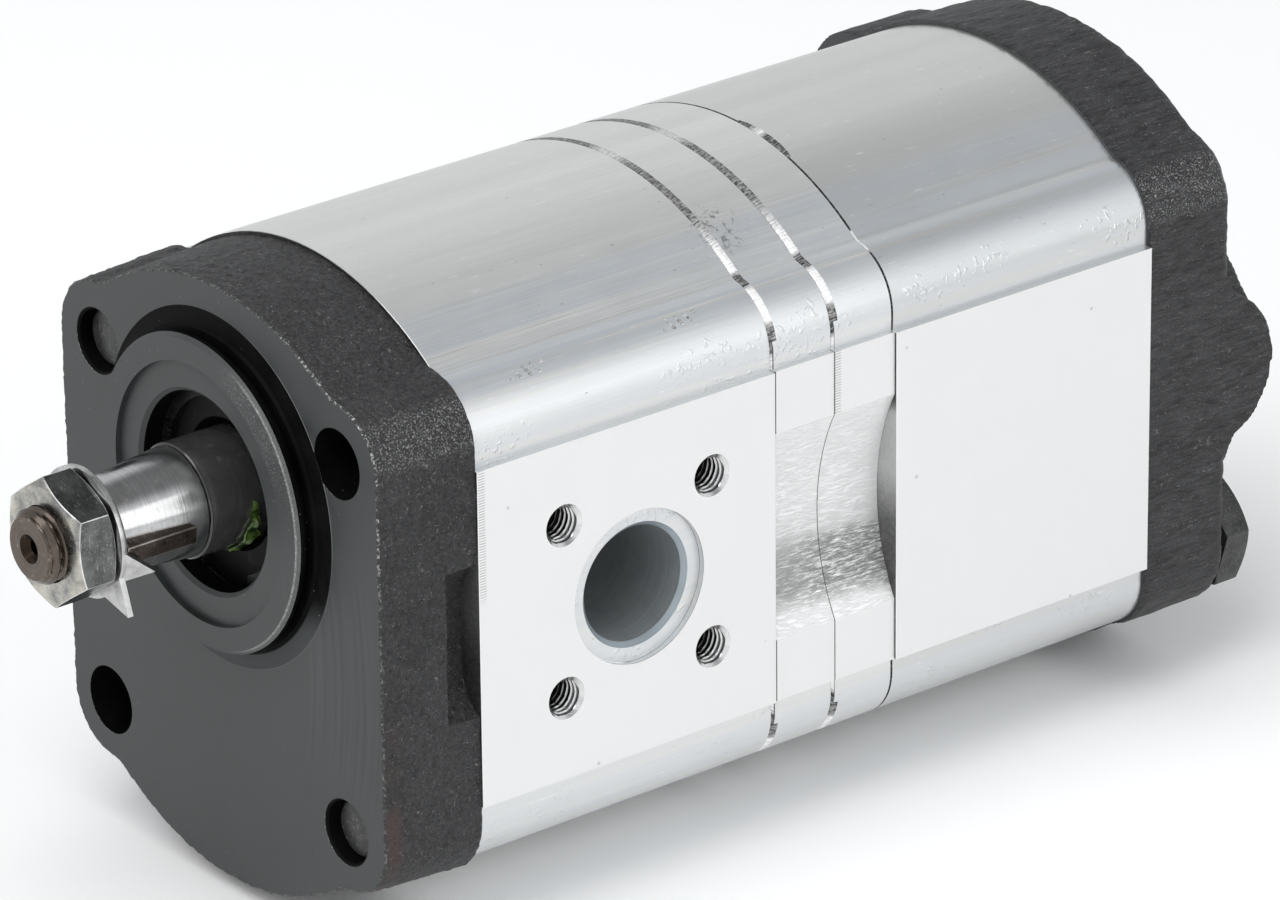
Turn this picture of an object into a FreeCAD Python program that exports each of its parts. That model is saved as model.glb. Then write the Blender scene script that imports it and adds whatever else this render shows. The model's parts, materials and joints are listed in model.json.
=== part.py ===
import FreeCAD, Part
import math
import os
import re
import Sketcher
from types import SimpleNamespace

# Tandem external gear pump with a tapered drive shaft.
# Millimetres, +Z up. The origin is where the shaft axis meets the mounting face of the front cover.
# The shaft points along -Y, the suction port faces +X, and the driven gears lie under the drive gears.

DRIVING_SIZES = [
    ("shaft_spacing", 32, "drive gear axis to driven gear axis"),
    ("bolt_offset", 30, "bolt axes from the middle of the section, across and up"),
    ("front_cover_length", 17.4, "front cover along the shaft"),
    ("front_body_length", 56.7, "front pump section"),
    ("plate_length", 12, "one intermediate plate"),
    ("rear_body_length", 52, "rear pump section"),
    ("rear_cover_length", 17.5, "rear cover without its hump"),
    ("body_lobe_radius", 9.6, "bolt lobes of the extrusion"),
    ("body_crown_step", 1.63, "lobes beyond the rounded top and bottom of the extrusion"),
    ("port_face_stand", 1.3, "port faces beyond the lobes"),
    ("port_flat_inset", 2.6, "end of a port face below the bolt axis"),
    ("lobe_blend_radius", 3, "hollow corner between crown and lobe"),
    ("plate_side_setback", 0.4, "side of a plate behind the port faces"),
    ("plate_front_bevel", 0.65, "front edge of a plate, round the crowns and lobes"),
    ("body_front_bevel", 0.25, "front edge of the rear body, the same"),
    ("plate_scallop_depth", 4.2, "hollow in the side of a plate"),
    ("plate_scallop_reach", 17.2, "half height of that hollow"),
    ("front_crown_setback", 1.5, "crown of the front cover's face inside the body's crown"),
    ("front_side_setback", 1.3, "side of the front cover's face behind the port faces"),
    ("front_cover_draft", 3, "casting draft of the front cover, degrees"),
    ("front_cover_hollow", 8, "hollow corner between crown and lobe of the front cover"),
    ("rear_cover_stand", 0.7, "crown and lobes of the rear cover beyond those of the body"),
    ("rear_cover_hollow", 4, "hollow corners round the rear cover"),
    ("rear_boss_radius", 12, "boss round the upper screw on the rear cover"),
    ("cover_edge_round", 2, "rounded outer edge of the rear cover"),
    ("notch_length", 5.7, "side notch of the front cover along the shaft"),
    ("notch_depth", 4.2, "side notch, depth"),
    ("notch_reach", 12.7, "side notch, half height"),
    ("notch_floor_reach", 5, "flat floor of the side notch, half height"),
    ("hump_radius", 13.2, "cross hump on the rear cover"),
    ("hump_height", 9.2, "hump above the rear face"),
    ("hump_rise", 2.2, "hump axis above the middle"),
    ("hump_blend", 4, "hollow corner beside the hump"),
    ("hump_flank_angle", 27, "straight flanks of the inner hump lean this far, degrees"),
    ("hump_flank_inset", 2.6, "straight flanks end before the side of the cover"),
    ("mount_hole_radius", 5.5, "through holes for the mounting bolts"),
    ("screw_hole_radius", 5.2, "through holes for the assembly screws"),
    ("screw_radius", 4.9, "assembly screw"),
    ("screw_clearance", 0.05, "screw in the tapped hole"),
    ("screw_mouth_depth", 0.4, "countersunk mouth of a screw hole in the mounting face"),
    ("screw_mouth_angle", 45, "the same, degrees from its axis"),
    ("screw_tip_depth", 2.2, "screw end below the mounting face"),
    ("screw_tip_chamfer", 0.6, "end of the screw"),
    ("screw_head_across", 17, "screw head across flats"),
    ("screw_head_length", 6.4, "screw head height with its washer face"),
    ("screw_head_turn", 17, "screw heads turned about their axis, degrees"),
    ("screw_face_radius", 8, "washer face under a screw head"),
    ("screw_face_height", 0.9, "washer face, height"),
    ("spotface_radius", 10.4, "machined seat round a screw head"),
    ("spigot_radius", 25, "centring spigot"),
    ("spigot_height", 3.85, "spigot above the mounting face"),
    ("spigot_lip", 1.35, "lip in front of the ring groove"),
    ("spigot_groove_radius", 23.4, "bottom of the ring groove"),
    ("spigot_groove_width", 1.5, "ring groove"),
    ("spigot_foot_radius", 28.2, "cone at the foot of the spigot"),
    ("spigot_chamfer", 0.6, "front edge of the spigot"),
    ("face_recess_radius", 20.7, "shallow recess in the spigot face"),
    ("face_recess_depth", 1, "the same, depth"),
    ("seal_bore_radius", 15.7, "shaft seal bore"),
    ("seal_bore_depth", 9.2, "floor of the seal bore behind the mounting face"),
    ("seal_bore_chamfer", 0.6, "mouth of the seal bore"),
    ("shaft_hole_clearance", 0.4, "cover hole round the shaft"),
    ("seal_width", 7, "shaft seal"),
    ("seal_lip_clearance", 0.03, "seal lip on the shaft"),
    ("ring_width", 1.2, "retaining ring of the seal"),
    ("ring_height", 2.6, "retaining ring, radial"),
    ("ring_groove_depth", 0.9, "its groove in the bore"),
    ("ring_gap", 11, "open stretch of the ring"),
    ("suction_port_radius", 9.3, "suction port"),
    ("suction_recess_radius", 12.4, "recess round the suction port"),
    ("port_recess_depth", 1, "recess round a port, depth"),
    ("port_floor", 19.4, "floor of a port bore from the middle"),
    ("suction_throat_radius", 6.5, "way from the suction port to the gears"),
    ("suction_bolt_spacing", 28.28, "square of tapped holes round the suction port"),
    ("suction_offset", 30.2, "suction port behind the front of its body"),
    ("pressure_port_radius", 7.5, "pressure ports"),
    ("pressure_recess_radius", 10.5, "recess round a pressure port"),
    ("pressure_throat_radius", 5, "way from the gears to a pressure port"),
    ("pressure_bolt_spacing", 24.75, "square of tapped holes round a pressure port"),
    ("rear_port_offset", 26, "rear pressure port behind the front of its body"),
    ("port_bolt_radius", 2.6, "tapped hole in a port face"),
    ("port_bolt_depth", 13, "tapped hole, depth"),
    ("port_bolt_chamfer", 0.7, "mouth of a tapped hole"),
    ("passage_reach", 17.5, "suction passage beside the gears, from the middle"),
    ("passage_height", 10, "suction passage, height"),
    ("gear_teeth", 12, "teeth of every gear"),
    ("gear_addendum", 2.6, "tooth tip above the rolling circle"),
    ("gear_root_clearance", 0.4, "tooth tip to the root of the other gear"),
    ("gear_pressure_angle", 28.2, "working pressure angle, degrees"),
    ("gear_tooth_foot", 0.5, "tooth below the root circle, inside the gear's body"),
    ("gear_backlash", 0.16, "play between teeth on the rolling circle"),
    ("gear_tip_clearance", 0.05, "tooth tip to the housing bore"),
    ("gear_end_clearance", 0.05, "gear face to bearing block"),
    ("journal_radius", 9, "shaft journals"),
    ("journal_end_gap", 0.5, "driven shaft end to the cover or plate"),
    ("running_clearance", 0.03, "journal in its bush"),
    ("bush_wall", 1.5, "bearing bush"),
    ("block_length", 17, "bearing block"),
    ("block_clearance", 0.03, "bearing block in the housing bore"),
    ("block_relief_depth", 2, "trapped oil pocket in a bearing block"),
    ("block_relief_width", 5, "the same, across"),
    ("block_seal_radius", 13.2, "inside of a balance seal"),
    ("block_seal_width", 2, "balance seal, radial"),
    ("block_seal_depth", 1.5, "balance seal, thickness"),
    ("tang_radius", 7.5, "drive tang"),
    ("tang_across", 10, "drive tang across flats"),
    ("tang_gap", 1, "play between the two drive tangs"),
    ("coupling_radius", 10.5, "coupling sleeve"),
    ("coupling_clearance", 0.05, "tang in the sleeve"),
    ("coupling_inset", 2, "sleeve end inside the plates"),
    ("coupling_bore_gap", 0.5, "sleeve to the bore of the plates"),
    ("groove_wall", 1.75, "wall between a gear bore and a joint seal"),
    ("groove_width", 2.2, "joint seal groove"),
    ("groove_depth", 1.6, "joint seal groove"),
    ("groove_side_gap", 0.1, "joint seal to the sides of its groove"),
    ("dowel_radius", 2.5, "dowel pins at the joints"),
    ("dowel_length", 10, "dowel pin"),
    ("dowel_inset", 5.9, "dowel axes inside the crown"),
    ("dowel_end_gap", 0.3, "dowel end to the bottom of its hole"),
    ("taper_radius", 8.7, "large end of the shaft cone"),
    ("taper_start", 7.7, "large end in front of the mounting face"),
    ("taper_length", 16.2, "shaft cone"),
    ("taper_ratio", 5, "cone length for one millimetre of diameter"),
    ("thread_radius", 5.9, "threaded end of the shaft"),
    ("thread_length", 10.5, "threaded end of the shaft"),
    ("thread_chamfer", 0.8, "end of the thread"),
    ("centre_hole_radius", 2.3, "centre drilling"),
    ("centre_hole_depth", 4, "centre drilling"),
    ("nut_across", 18, "shaft nut across flats"),
    ("nut_length", 6.8, "shaft nut"),
    ("nut_turn", -5.3, "nut turned about the shaft, degrees"),
    ("thread_clearance", 0.05, "nut and washer on the thread"),
    ("washer_radius", 10.2, "tab washer"),
    ("washer_length", 1, "tab washer"),
    ("tab_reach", 15, "tab tips from the shaft axis"),
    ("tab_width", 6, "root of a tab"),
    ("tab_foot", 0.2, "tab inside the washer's rim"),
    ("flat_tab_turn", 42, "straight tab below the key side, degrees"),
    ("bent_tab_turn", 16, "bent tab below the key side, degrees"),
    ("tab_bend", 55, "bend of the bent tab, degrees"),
    ("key_width", 3, "half-round key"),
    ("key_disc_radius", 6.5, "half-round key"),
    ("key_height", 5, "half-round key"),
    ("key_proud", 1.7, "key above the cone"),
    ("key_place", 17, "middle of the key in front of the mounting face"),
    ("key_clearance", 0.02, "key in its slot"),
    ("key_turn", 8, "key below the suction side, degrees"),
]

UP = FreeCAD.Vector(0, 0, 1)
BACKWARD = FreeCAD.Vector(0, 1, 0)
HEXAGON_BEVEL_START = 0.95  # radius where a hexagon's bevel begins, as a share of its flats
CUT_MARGIN = 1.1  # reach of a cutting outline past the metal, as a share of it


class Measure:
    """A length or angle that knows its number now and the sheet formula behind it."""

    def __init__(self, number, formula):
        self.number = float(number)
        self.formula = formula

    def __add__(self, other):
        return joined(self, "+", other, self.number + number_of(other))

    def __radd__(self, other):
        return joined(other, "+", self, number_of(other) + self.number)

    def __sub__(self, other):
        return joined(self, "-", other, self.number - number_of(other))

    def __rsub__(self, other):
        return joined(other, "-", self, number_of(other) - self.number)

    def __mul__(self, other):
        return joined(self, "*", other, self.number * number_of(other))

    def __rmul__(self, other):
        return joined(other, "*", self, number_of(other) * self.number)

    def __truediv__(self, other):
        return joined(self, "/", other, self.number / number_of(other))

    def __neg__(self):
        return joined(-1, "*", self, -self.number)

    def root(self):
        """Square root, in the number and in the formula."""
        return Measure(math.sqrt(self.number), f"sqrt({self.formula})")


def number_of(value):
    """The plain number of a measure or of a number."""
    return value.number if isinstance(value, Measure) else float(value)


def formula_of(value):
    """The sheet formula of a measure or of a number."""
    return value.formula if isinstance(value, Measure) else repr(float(value))


def joined(left, sign, right, number):
    """Measure made of two others and the sign between them."""
    return Measure(number, f"({formula_of(left)} {sign} {formula_of(right)})")


def fill_sheet(doc):
    """Writes the driving sizes into the sheet and returns them as measures by name."""
    sheet = doc.addObject("Spreadsheet::Sheet", "Sizes")
    measures = {}
    for row, (alias, value, words) in enumerate(DRIVING_SIZES, start=1):
        sheet.set(f"A{row}", words)
        sheet.set(f"B{row}", str(value))
        sheet.setAlias(f"B{row}", alias)
        measures[alias] = Measure(value, f"Sizes.{alias}")
    doc.recompute()
    return SimpleNamespace(**measures)


def bind(thing, place, value):
    """Ties one property of an object to a measure."""
    if isinstance(value, Measure):
        thing.setExpression(place, value.formula)
    else:
        raise TypeError(f"{place} of {thing.Label} needs a measure")


DOC = FreeCAD.newDocument("gear_pump")
size = fill_sheet(DOC)

# Places along the shaft and radii that several pieces share
mid_height = -size.shaft_spacing / 2
front_body_place = size.front_cover_length
front_plate_place = front_body_place + size.front_body_length
rear_plate_place = front_plate_place + size.plate_length
rear_body_place = rear_plate_place + size.plate_length
rear_cover_place = rear_body_place + size.rear_body_length
rear_face_place = rear_cover_place + size.rear_cover_length
tip_radius = size.shaft_spacing / 2 + size.gear_addendum
chamber_radius = tip_radius + size.gear_tip_clearance
groove_inner_radius = chamber_radius + size.groove_wall
bush_radius = size.journal_radius + size.running_clearance + size.bush_wall
cone_tip_radius = size.taper_radius - size.taper_length / size.taper_ratio / 2
cone_tip_place = -size.taper_start - size.taper_length
washer_place = cone_tip_place - size.washer_length
nut_place = washer_place - size.nut_length
plate_bore_radius = size.coupling_radius + size.coupling_bore_gap
body_crown_radius = size.bolt_offset * math.sqrt(2) + size.body_lobe_radius - size.body_crown_step
body_half_width = size.bolt_offset + size.body_lobe_radius + size.port_face_stand
port_flat_reach = size.bolt_offset - size.port_flat_inset
plate_half_width = body_half_width - size.plate_side_setback
front_crown_radius = body_crown_radius - size.front_crown_setback
front_lobe_radius = body_half_width - size.front_side_setback - size.bolt_offset
rear_crown_radius = body_crown_radius + size.rear_cover_stand
rear_lobe_radius = size.body_lobe_radius + size.rear_cover_stand
dowel_reach = body_crown_radius - size.dowel_inset

MOUNT_CORNERS = ((1, 1), (-1, -1))
SCREW_CORNERS = ((-1, 1), (1, -1))
FACE_SIDES = {"XZ_Plane": -1, "YZ_Plane": 1, "XY_Plane": 1}


def new_body(name):
    """Empty body whose label names the sub-part."""
    body = DOC.addObject("PartDesign::Body", name)
    body.Label = name
    return body


def place(thing, across=None, along=None, up=None):
    """Moves a sub-part to its seat in the pump."""
    for letter, value in (("x", across), ("y", along), ("z", up)):
        if value is not None:
            bind(thing, f"Placement.Base.{letter}", value)


def turn(thing, angle):
    """Turns a sub-part about the shaft axis."""
    thing.Placement.Rotation = FreeCAD.Rotation(BACKWARD, 0)
    placement = FreeCAD.Placement(thing.Placement.Base, FreeCAD.Rotation(BACKWARD, angle.number))
    thing.Placement = placement
    bind(thing, "Placement.Rotation.Angle", angle)


class Drawing:
    """A sketch on an origin plane of its body, moved along the plane's axis by an offset.

    The offset counts along +Y for the XZ plane, along +X for YZ and along +Z for XY.
    Its constraints are collected and added together when the drawing is finished.
    """

    def __init__(self, body, role, offset=None, turned=None):
        sketch = body.newObject("Sketcher::SketchObject", f"{body.Label}_sketch")
        planes = [plane for plane in body.Origin.OriginFeatures if plane.Role == role]
        sketch.AttachmentSupport = [(planes[0], "")]
        sketch.MapMode = "FlatFace"
        if turned is not None:
            rotation = FreeCAD.Rotation(BACKWARD, turned.number)
            sketch.AttachmentOffset = FreeCAD.Placement(FreeCAD.Vector(), rotation)
            bind(sketch, "AttachmentOffset.Rotation.Angle", turned)
        if offset is not None:
            bind(sketch, "AttachmentOffset.Base.z", FACE_SIDES[role] * offset)
        self.sketch = sketch
        self.shapes = []
        self.constraints = []

    def draw(self, shape):
        """Adds a line, arc or circle and returns its number."""
        self.shapes.append(shape)
        return len(self.shapes) - 1

    def relate(self, kind, *where):
        """Adds a constraint that has no size."""
        self.constraints.append((Sketcher.Constraint(kind, *where), None))

    def fix(self, kind, *where, value):
        """Adds a dimension that is tied to its measure."""
        constraint = Sketcher.Constraint(kind, *where, number_of(value))
        formula = value.formula if isinstance(value, Measure) else None
        self.constraints.append((constraint, formula))

    def fix_point(self, shape, point, across, up):
        """Gives a point its two coordinates."""
        self.fix("DistanceX", -1, 1, shape, point, value=across)
        self.fix("DistanceY", -1, 1, shape, point, value=up)

    def fix_height(self, shape, point, up):
        """Gives a point that lies on a touching arc its height alone."""
        self.fix("DistanceY", -1, 1, shape, point, value=up)

    def finish(self):
        """Puts the shapes and constraints into the sketch and returns it."""
        self.sketch.addGeometry(self.shapes, False)
        self.sketch.addConstraint([constraint for constraint, formula in self.constraints])
        for index, (constraint, formula) in enumerate(self.constraints):
            if formula is not None:
                self.sketch.setExpression(f"Constraints[{index}]", formula)
        return self.sketch


def add_circle(drawing, across, up, radius):
    """Full circle with a fixed centre and radius."""
    centre = FreeCAD.Vector(number_of(across), number_of(up), 0)
    index = drawing.draw(Part.Circle(centre, UP, number_of(radius)))
    drawing.fix_point(index, 3, across, up)
    drawing.fix("Radius", index, value=radius)


def add_polygon(drawing, corners):
    """Closed outline of straight lines through corners that are pairs of measures."""
    points = [FreeCAD.Vector(number_of(across), number_of(up), 0) for across, up in corners]
    first = len(drawing.shapes)
    count = len(points)
    for index in range(count):
        drawing.draw(Part.LineSegment(points[index], points[(index + 1) % count]))
    for index, (across, up) in enumerate(corners):
        drawing.relate("Coincident", first + index, 2, first + (index + 1) % count, 1)
        drawing.fix_point(first + index, 1, across, up)


def add_chain(drawing, edges):
    """Closed outline of lines and arcs that are given in order, joined end to end."""
    first = len(drawing.shapes)
    for edge in edges:
        drawing.draw(edge)
    ends = [(edge.StartPoint, edge.EndPoint) for edge in edges]
    count = len(edges)
    starts = []
    for index in range(count):
        following = ends[(index + 1) % count]
        forward = min(ends[index][1].distanceToPoint(point) for point in following)
        backward = min(ends[index][0].distanceToPoint(point) for point in following)
        starts.append(1 if forward < backward else 2)
    for index in range(count):
        near = (index + 1) % count
        out_end = 3 - starts[index]
        drawing.relate("Coincident", first + index, out_end, first + near, starts[near])
    return first


def arc_between(centre, radius, start, end):
    """Arc the short way round from one point to the other, centre and points as (across, up)."""
    begin = math.atan2(start[1] - centre[1], start[0] - centre[0])
    finish = math.atan2(end[1] - centre[1], end[0] - centre[0])
    circle = Part.Circle(FreeCAD.Vector(centre[0], centre[1], 0), UP, radius)
    if (finish - begin) % (2 * math.pi) > math.pi:
        begin, finish = finish, begin
    return Part.ArcOfCircle(circle, begin, finish)


def line_between(start, end):
    """Straight drawing line between two (across, up) points."""
    return Part.LineSegment(FreeCAD.Vector(*start, 0), FreeCAD.Vector(*end, 0))


def crown_meets_lobe(crown, lobe, offset):
    """Point where the crown circle runs into the upper right lobe, from the section's middle."""
    reach = offset * math.sqrt(2)
    along = (crown**2 - lobe**2 + reach**2) / (2 * reach)
    aside = math.sqrt(crown**2 - along**2)
    return (along - aside) / math.sqrt(2), (along + aside) / math.sqrt(2)


def add_section_outline(drawing, crown, lobe):
    """Outline of a pump section: two crowns, four bolt lobes and sides that touch the lobes."""
    offset = size.bolt_offset.number
    meet = crown_meets_lobe(crown.number, lobe.number, offset)
    middle = mid_height.number
    side_end = (offset + lobe.number, offset)

    def shifted(point, across, up):
        return point[0] * across, middle + point[1] * up

    edges = []
    roles = []
    for across, ups in ((1, (1, -1)), (-1, (-1, 1))):
        for up in ups:
            centre = shifted((offset, offset), across, up)
            begin = shifted(meet, across, up)
            end = shifted(side_end, across, up)
            edges.append(arc_between(centre, lobe.number, begin, end))
            roles.append(("lobe", across, up))
            if up == ups[0]:
                edges.append(line_between(end, shifted(side_end, across, -up)))
                roles.append(("side", across, up))
            else:
                edges.append(arc_between((0, middle), crown.number, begin, shifted(meet, -across, up)))
                roles.append(("crown", across, up))
    first = add_chain(drawing, edges)
    for index, (role, across, up) in enumerate(roles, start=first):
        if role == "lobe":
            drawing.fix_point(
                index, 3, across * size.bolt_offset, mid_height + up * size.bolt_offset
            )
            drawing.fix("Radius", index, value=lobe)
        elif role == "crown":
            drawing.fix_point(index, 3, 0, mid_height)
            drawing.fix("Radius", index, value=crown)
        else:
            drawing.fix_height(index, 1, mid_height + up * size.bolt_offset)
            drawing.fix_height(index, 2, mid_height - up * size.bolt_offset)


def add_slot(drawing, across, top, bottom, radius):
    """Upright slot with half-round ends about a top and a bottom centre."""
    reach = radius.number
    middle = number_of(across)
    high = number_of(top)
    low = number_of(bottom)
    upper = Part.Circle(FreeCAD.Vector(middle, high, 0), UP, reach)
    lower = Part.Circle(FreeCAD.Vector(middle, low, 0), UP, reach)
    edges = [
        Part.ArcOfCircle(upper, 0, math.pi),
        line_between((middle - reach, high), (middle - reach, low)),
        Part.ArcOfCircle(lower, math.pi, 2 * math.pi),
        line_between((middle + reach, low), (middle + reach, high)),
    ]
    first = add_chain(drawing, edges)
    for index, up in ((0, top), (2, bottom)):
        drawing.fix_point(first + index, 3, across, up)
        drawing.fix("Radius", first + index, value=radius)
    for index, high_point in ((1, 1), (3, 2)):
        drawing.fix_height(first + index, high_point, top)
        drawing.fix_height(first + index, 3 - high_point, bottom)


def add_racetrack(drawing, radius):
    """Outline that runs round both gear axes at one radius, with straight sides."""
    add_slot(drawing, 0, 0, -size.shaft_spacing, radius)


def pad(body, drawing, length, draft=None, backward=True, both_ways=False):
    """Adds the drawing carried along +Y, or along its own axis when not backward."""
    feature = body.newObject("PartDesign::Pad", f"{body.Label}_pad")
    feature.Profile = drawing.finish()
    feature.Reversed = backward
    if both_ways:
        feature.SideType = "Symmetric"
    bind(feature, "Length", length)
    if draft is not None:
        bind(feature, "TaperAngle", draft)
    return feature


def pocket(body, drawing, depth, reverse=False, both_ways=False, draft=None):
    """Cuts the drawing against its axis, or along it when reversed; a negative draft narrows."""
    feature = body.newObject("PartDesign::Pocket", f"{body.Label}_pocket")
    feature.Profile = drawing.finish()
    feature.Reversed = reverse
    if both_ways:
        feature.SideType = "Symmetric"
    bind(feature, "Length", depth)
    if draft is not None:
        bind(feature, "TaperAngle", draft)
    return feature


def spin(body, corners, cut=False):
    """Turns a profile of (along, radius) corners about the shaft axis, to add or to cut."""
    kind = "Groove" if cut else "Revolution"
    drawing = Drawing(body, "YZ_Plane")
    add_polygon(drawing, corners)
    feature = body.newObject(f"PartDesign::{kind}", f"{body.Label}_{kind.lower()}")
    feature.Profile = drawing.finish()
    feature.ReferenceAxis = (drawing.sketch, ["H_Axis"])
    feature.Angle = 360
    return feature


def edges_where(feature, test):
    """Names of the edges of a feature that pass a test on the edge."""
    shape = feature.Shape
    return [f"Edge{index}" for index, edge in enumerate(shape.Edges, start=1) if test(edge)]


def round_edges(body, feature, radius, test):
    """Rounds the edges of a feature that pass a test."""
    DOC.recompute()
    names = edges_where(feature, test)
    result = body.newObject("PartDesign::Fillet", f"{body.Label}_round")
    result.Base = (feature, names)
    bind(result, "Radius", radius)
    return result


def bevel_edges(body, feature, width, test):
    """Bevels the edges of a feature that pass a test."""
    DOC.recompute()
    names = edges_where(feature, test)
    result = body.newObject("PartDesign::Chamfer", f"{body.Label}_bevel")
    result.Base = (feature, names)
    bind(result, "Size", width)
    return result


def is_circle(edge, radius):
    """True for a circular edge of that radius."""
    curve = edge.Curve
    return isinstance(curve, Part.Circle) and abs(curve.Radius - radius.number) < 1e-4


def is_lengthwise(edge, across, up):
    """True for an edge along the pump that starts or ends at that place or its mirror images."""
    ends = [vertex.Point for vertex in edge.Vertexes]
    if len(ends) < 2 or abs(ends[0].y - ends[1].y) < 1:
        return False
    aside = [abs(abs(end.x) - across) + abs(abs(end.z - mid_height.number) - up) for end in ends]
    return min(aside) < 1e-3


def is_blend_corner(edge, crown, lobe):
    """True for a lengthwise edge where a crown runs into a lobe."""
    across, up = crown_meets_lobe(crown.number, lobe.number, size.bolt_offset.number)
    return is_lengthwise(edge, across, up)


def cut_bolt_holes(body, length, screw_radius):
    """Mounting and assembly holes through a section."""
    for corners, radius in ((MOUNT_CORNERS, size.mount_hole_radius), (SCREW_CORNERS, screw_radius)):
        drawing = Drawing(body, "XZ_Plane")
        for across, up in corners:
            add_circle(
                drawing, across * size.bolt_offset, mid_height + up * size.bolt_offset, radius
            )
        pocket(body, drawing, length)


def cut_joint(body, face, toward_rear, groove):
    """Dowel holes, and the seal groove if wanted, in a face square to the shaft.

    toward_rear is True where the metal lies behind the face.
    """
    hole_depth = size.dowel_length / 2 + size.dowel_end_gap
    drawing = Drawing(body, "XZ_Plane", face)
    for up in (1, -1):
        add_circle(drawing, 0, mid_height + up * dowel_reach, size.dowel_radius)
    pocket(body, drawing, hole_depth, reverse=not toward_rear)
    if groove:
        drawing = Drawing(body, "XZ_Plane", face)
        add_racetrack(drawing, groove_inner_radius)
        add_racetrack(drawing, groove_inner_radius + size.groove_width)
        pocket(body, drawing, size.groove_depth, reverse=not toward_rear)


def add_passage(body, length):
    """Suction passage beside the gears, through the whole length."""
    drawing = Drawing(body, "XZ_Plane")
    low = mid_height - size.passage_height / 2
    high = mid_height + size.passage_height / 2
    inner = size.passage_reach / 2
    add_polygon(
        drawing,
        [(inner, low), (size.passage_reach, low), (size.passage_reach, high), (inner, high)],
    )
    pocket(body, drawing, length)


def cut_port(body, side, offset, radii, spacing):
    """Port with four tapped holes in a side face; side is +1 or -1 along X.

    The radii are those of the recess, of the bore and of the throat that leads to the gears.
    """
    face = side * body_half_width
    reverse = side < 0
    depths = (
        size.port_recess_depth,
        body_half_width - size.port_floor,
        body_half_width - size.passage_reach / 2,
    )
    for radius, depth in zip(radii, depths):
        drawing = Drawing(body, "YZ_Plane", face)
        add_circle(drawing, offset, mid_height, radius)
        pocket(body, drawing, depth, reverse=reverse)
    drawing = Drawing(body, "YZ_Plane", face)
    for along in (-1, 1):
        for up in (-1, 1):
            add_circle(
                drawing,
                offset + along * spacing / 2,
                mid_height + up * spacing / 2,
                size.port_bolt_radius,
            )
    holes = pocket(body, drawing, size.port_bolt_depth, reverse=reverse)

    def at_mouth(edge):
        if not is_circle(edge, size.port_bolt_radius):
            return False
        return abs(edge.Curve.Center.x - face.number) < 1e-4

    return bevel_edges(body, holes, size.port_bolt_chamfer, at_mouth)


def pad_section_blank(body, length, half_width, front_bevel=None):
    """Blank of a section body or plate: the extrusion and the slab with the machined sides.

    The bevel goes round the front edge of the extrusion and leaves the machined sides alone.
    """
    drawing = Drawing(body, "XZ_Plane")
    add_section_outline(drawing, body_crown_radius, size.body_lobe_radius)
    blank = pad(body, drawing, length)
    rounded = round_edges(
        body,
        blank,
        size.lobe_blend_radius,
        lambda edge: is_blend_corner(edge, body_crown_radius, size.body_lobe_radius),
    )
    if front_bevel is not None:
        bevel_edges(body, rounded, front_bevel, lambda edge: edge.BoundBox.YMax < 1e-4)
    drawing = Drawing(body, "XZ_Plane")
    low = mid_height - port_flat_reach
    high = mid_height + port_flat_reach
    add_polygon(
        drawing,
        [(-half_width, low), (half_width, low), (half_width, high), (-half_width, high)],
    )
    pad(body, drawing, length)


def make_section_body(name, along, length, ports, front_bevel=None):
    """Extruded pump section with its two gear bores, suction passage and ports."""
    body = new_body(name)
    pad_section_blank(body, length, body_half_width, front_bevel)
    for up in (0, -size.shaft_spacing):
        drawing = Drawing(body, "XZ_Plane")
        add_circle(drawing, 0, up, chamber_radius)
        pocket(body, drawing, length)
    add_passage(body, length)
    cut_bolt_holes(body, length, size.screw_hole_radius)
    cut_joint(body, None, True, False)
    cut_joint(body, length, False, False)
    for side, offset, radii, spacing in ports:
        cut_port(body, side, offset, radii, spacing)
    place(body, along=along)


def make_plate(name, along, front_groove, rear_groove):
    """Intermediate plate with hollow sides and the bore for the coupling sleeve."""
    body = new_body(name)
    pad_section_blank(body, size.plate_length, plate_half_width, size.plate_front_bevel)
    cut_scallops(body)
    drawing = Drawing(body, "XZ_Plane")
    add_circle(drawing, 0, 0, plate_bore_radius)
    pocket(body, drawing, size.plate_length)
    add_passage(body, size.plate_length)
    cut_bolt_holes(body, size.plate_length, size.screw_hole_radius)
    cut_joint(body, None, True, front_groove)
    cut_joint(body, size.plate_length, False, rear_groove)
    place(body, along=along)


def cut_scallops(body):
    """Round hollow in both sides of a plate."""
    depth = size.plate_scallop_depth
    reach = size.plate_scallop_reach
    radius = (depth * depth + reach * reach) / (2 * depth)
    drawing = Drawing(body, "XZ_Plane")
    for across in (1, -1):
        add_circle(drawing, across * (plate_half_width - depth + radius), mid_height, radius)
    pocket(body, drawing, size.plate_length)


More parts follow.
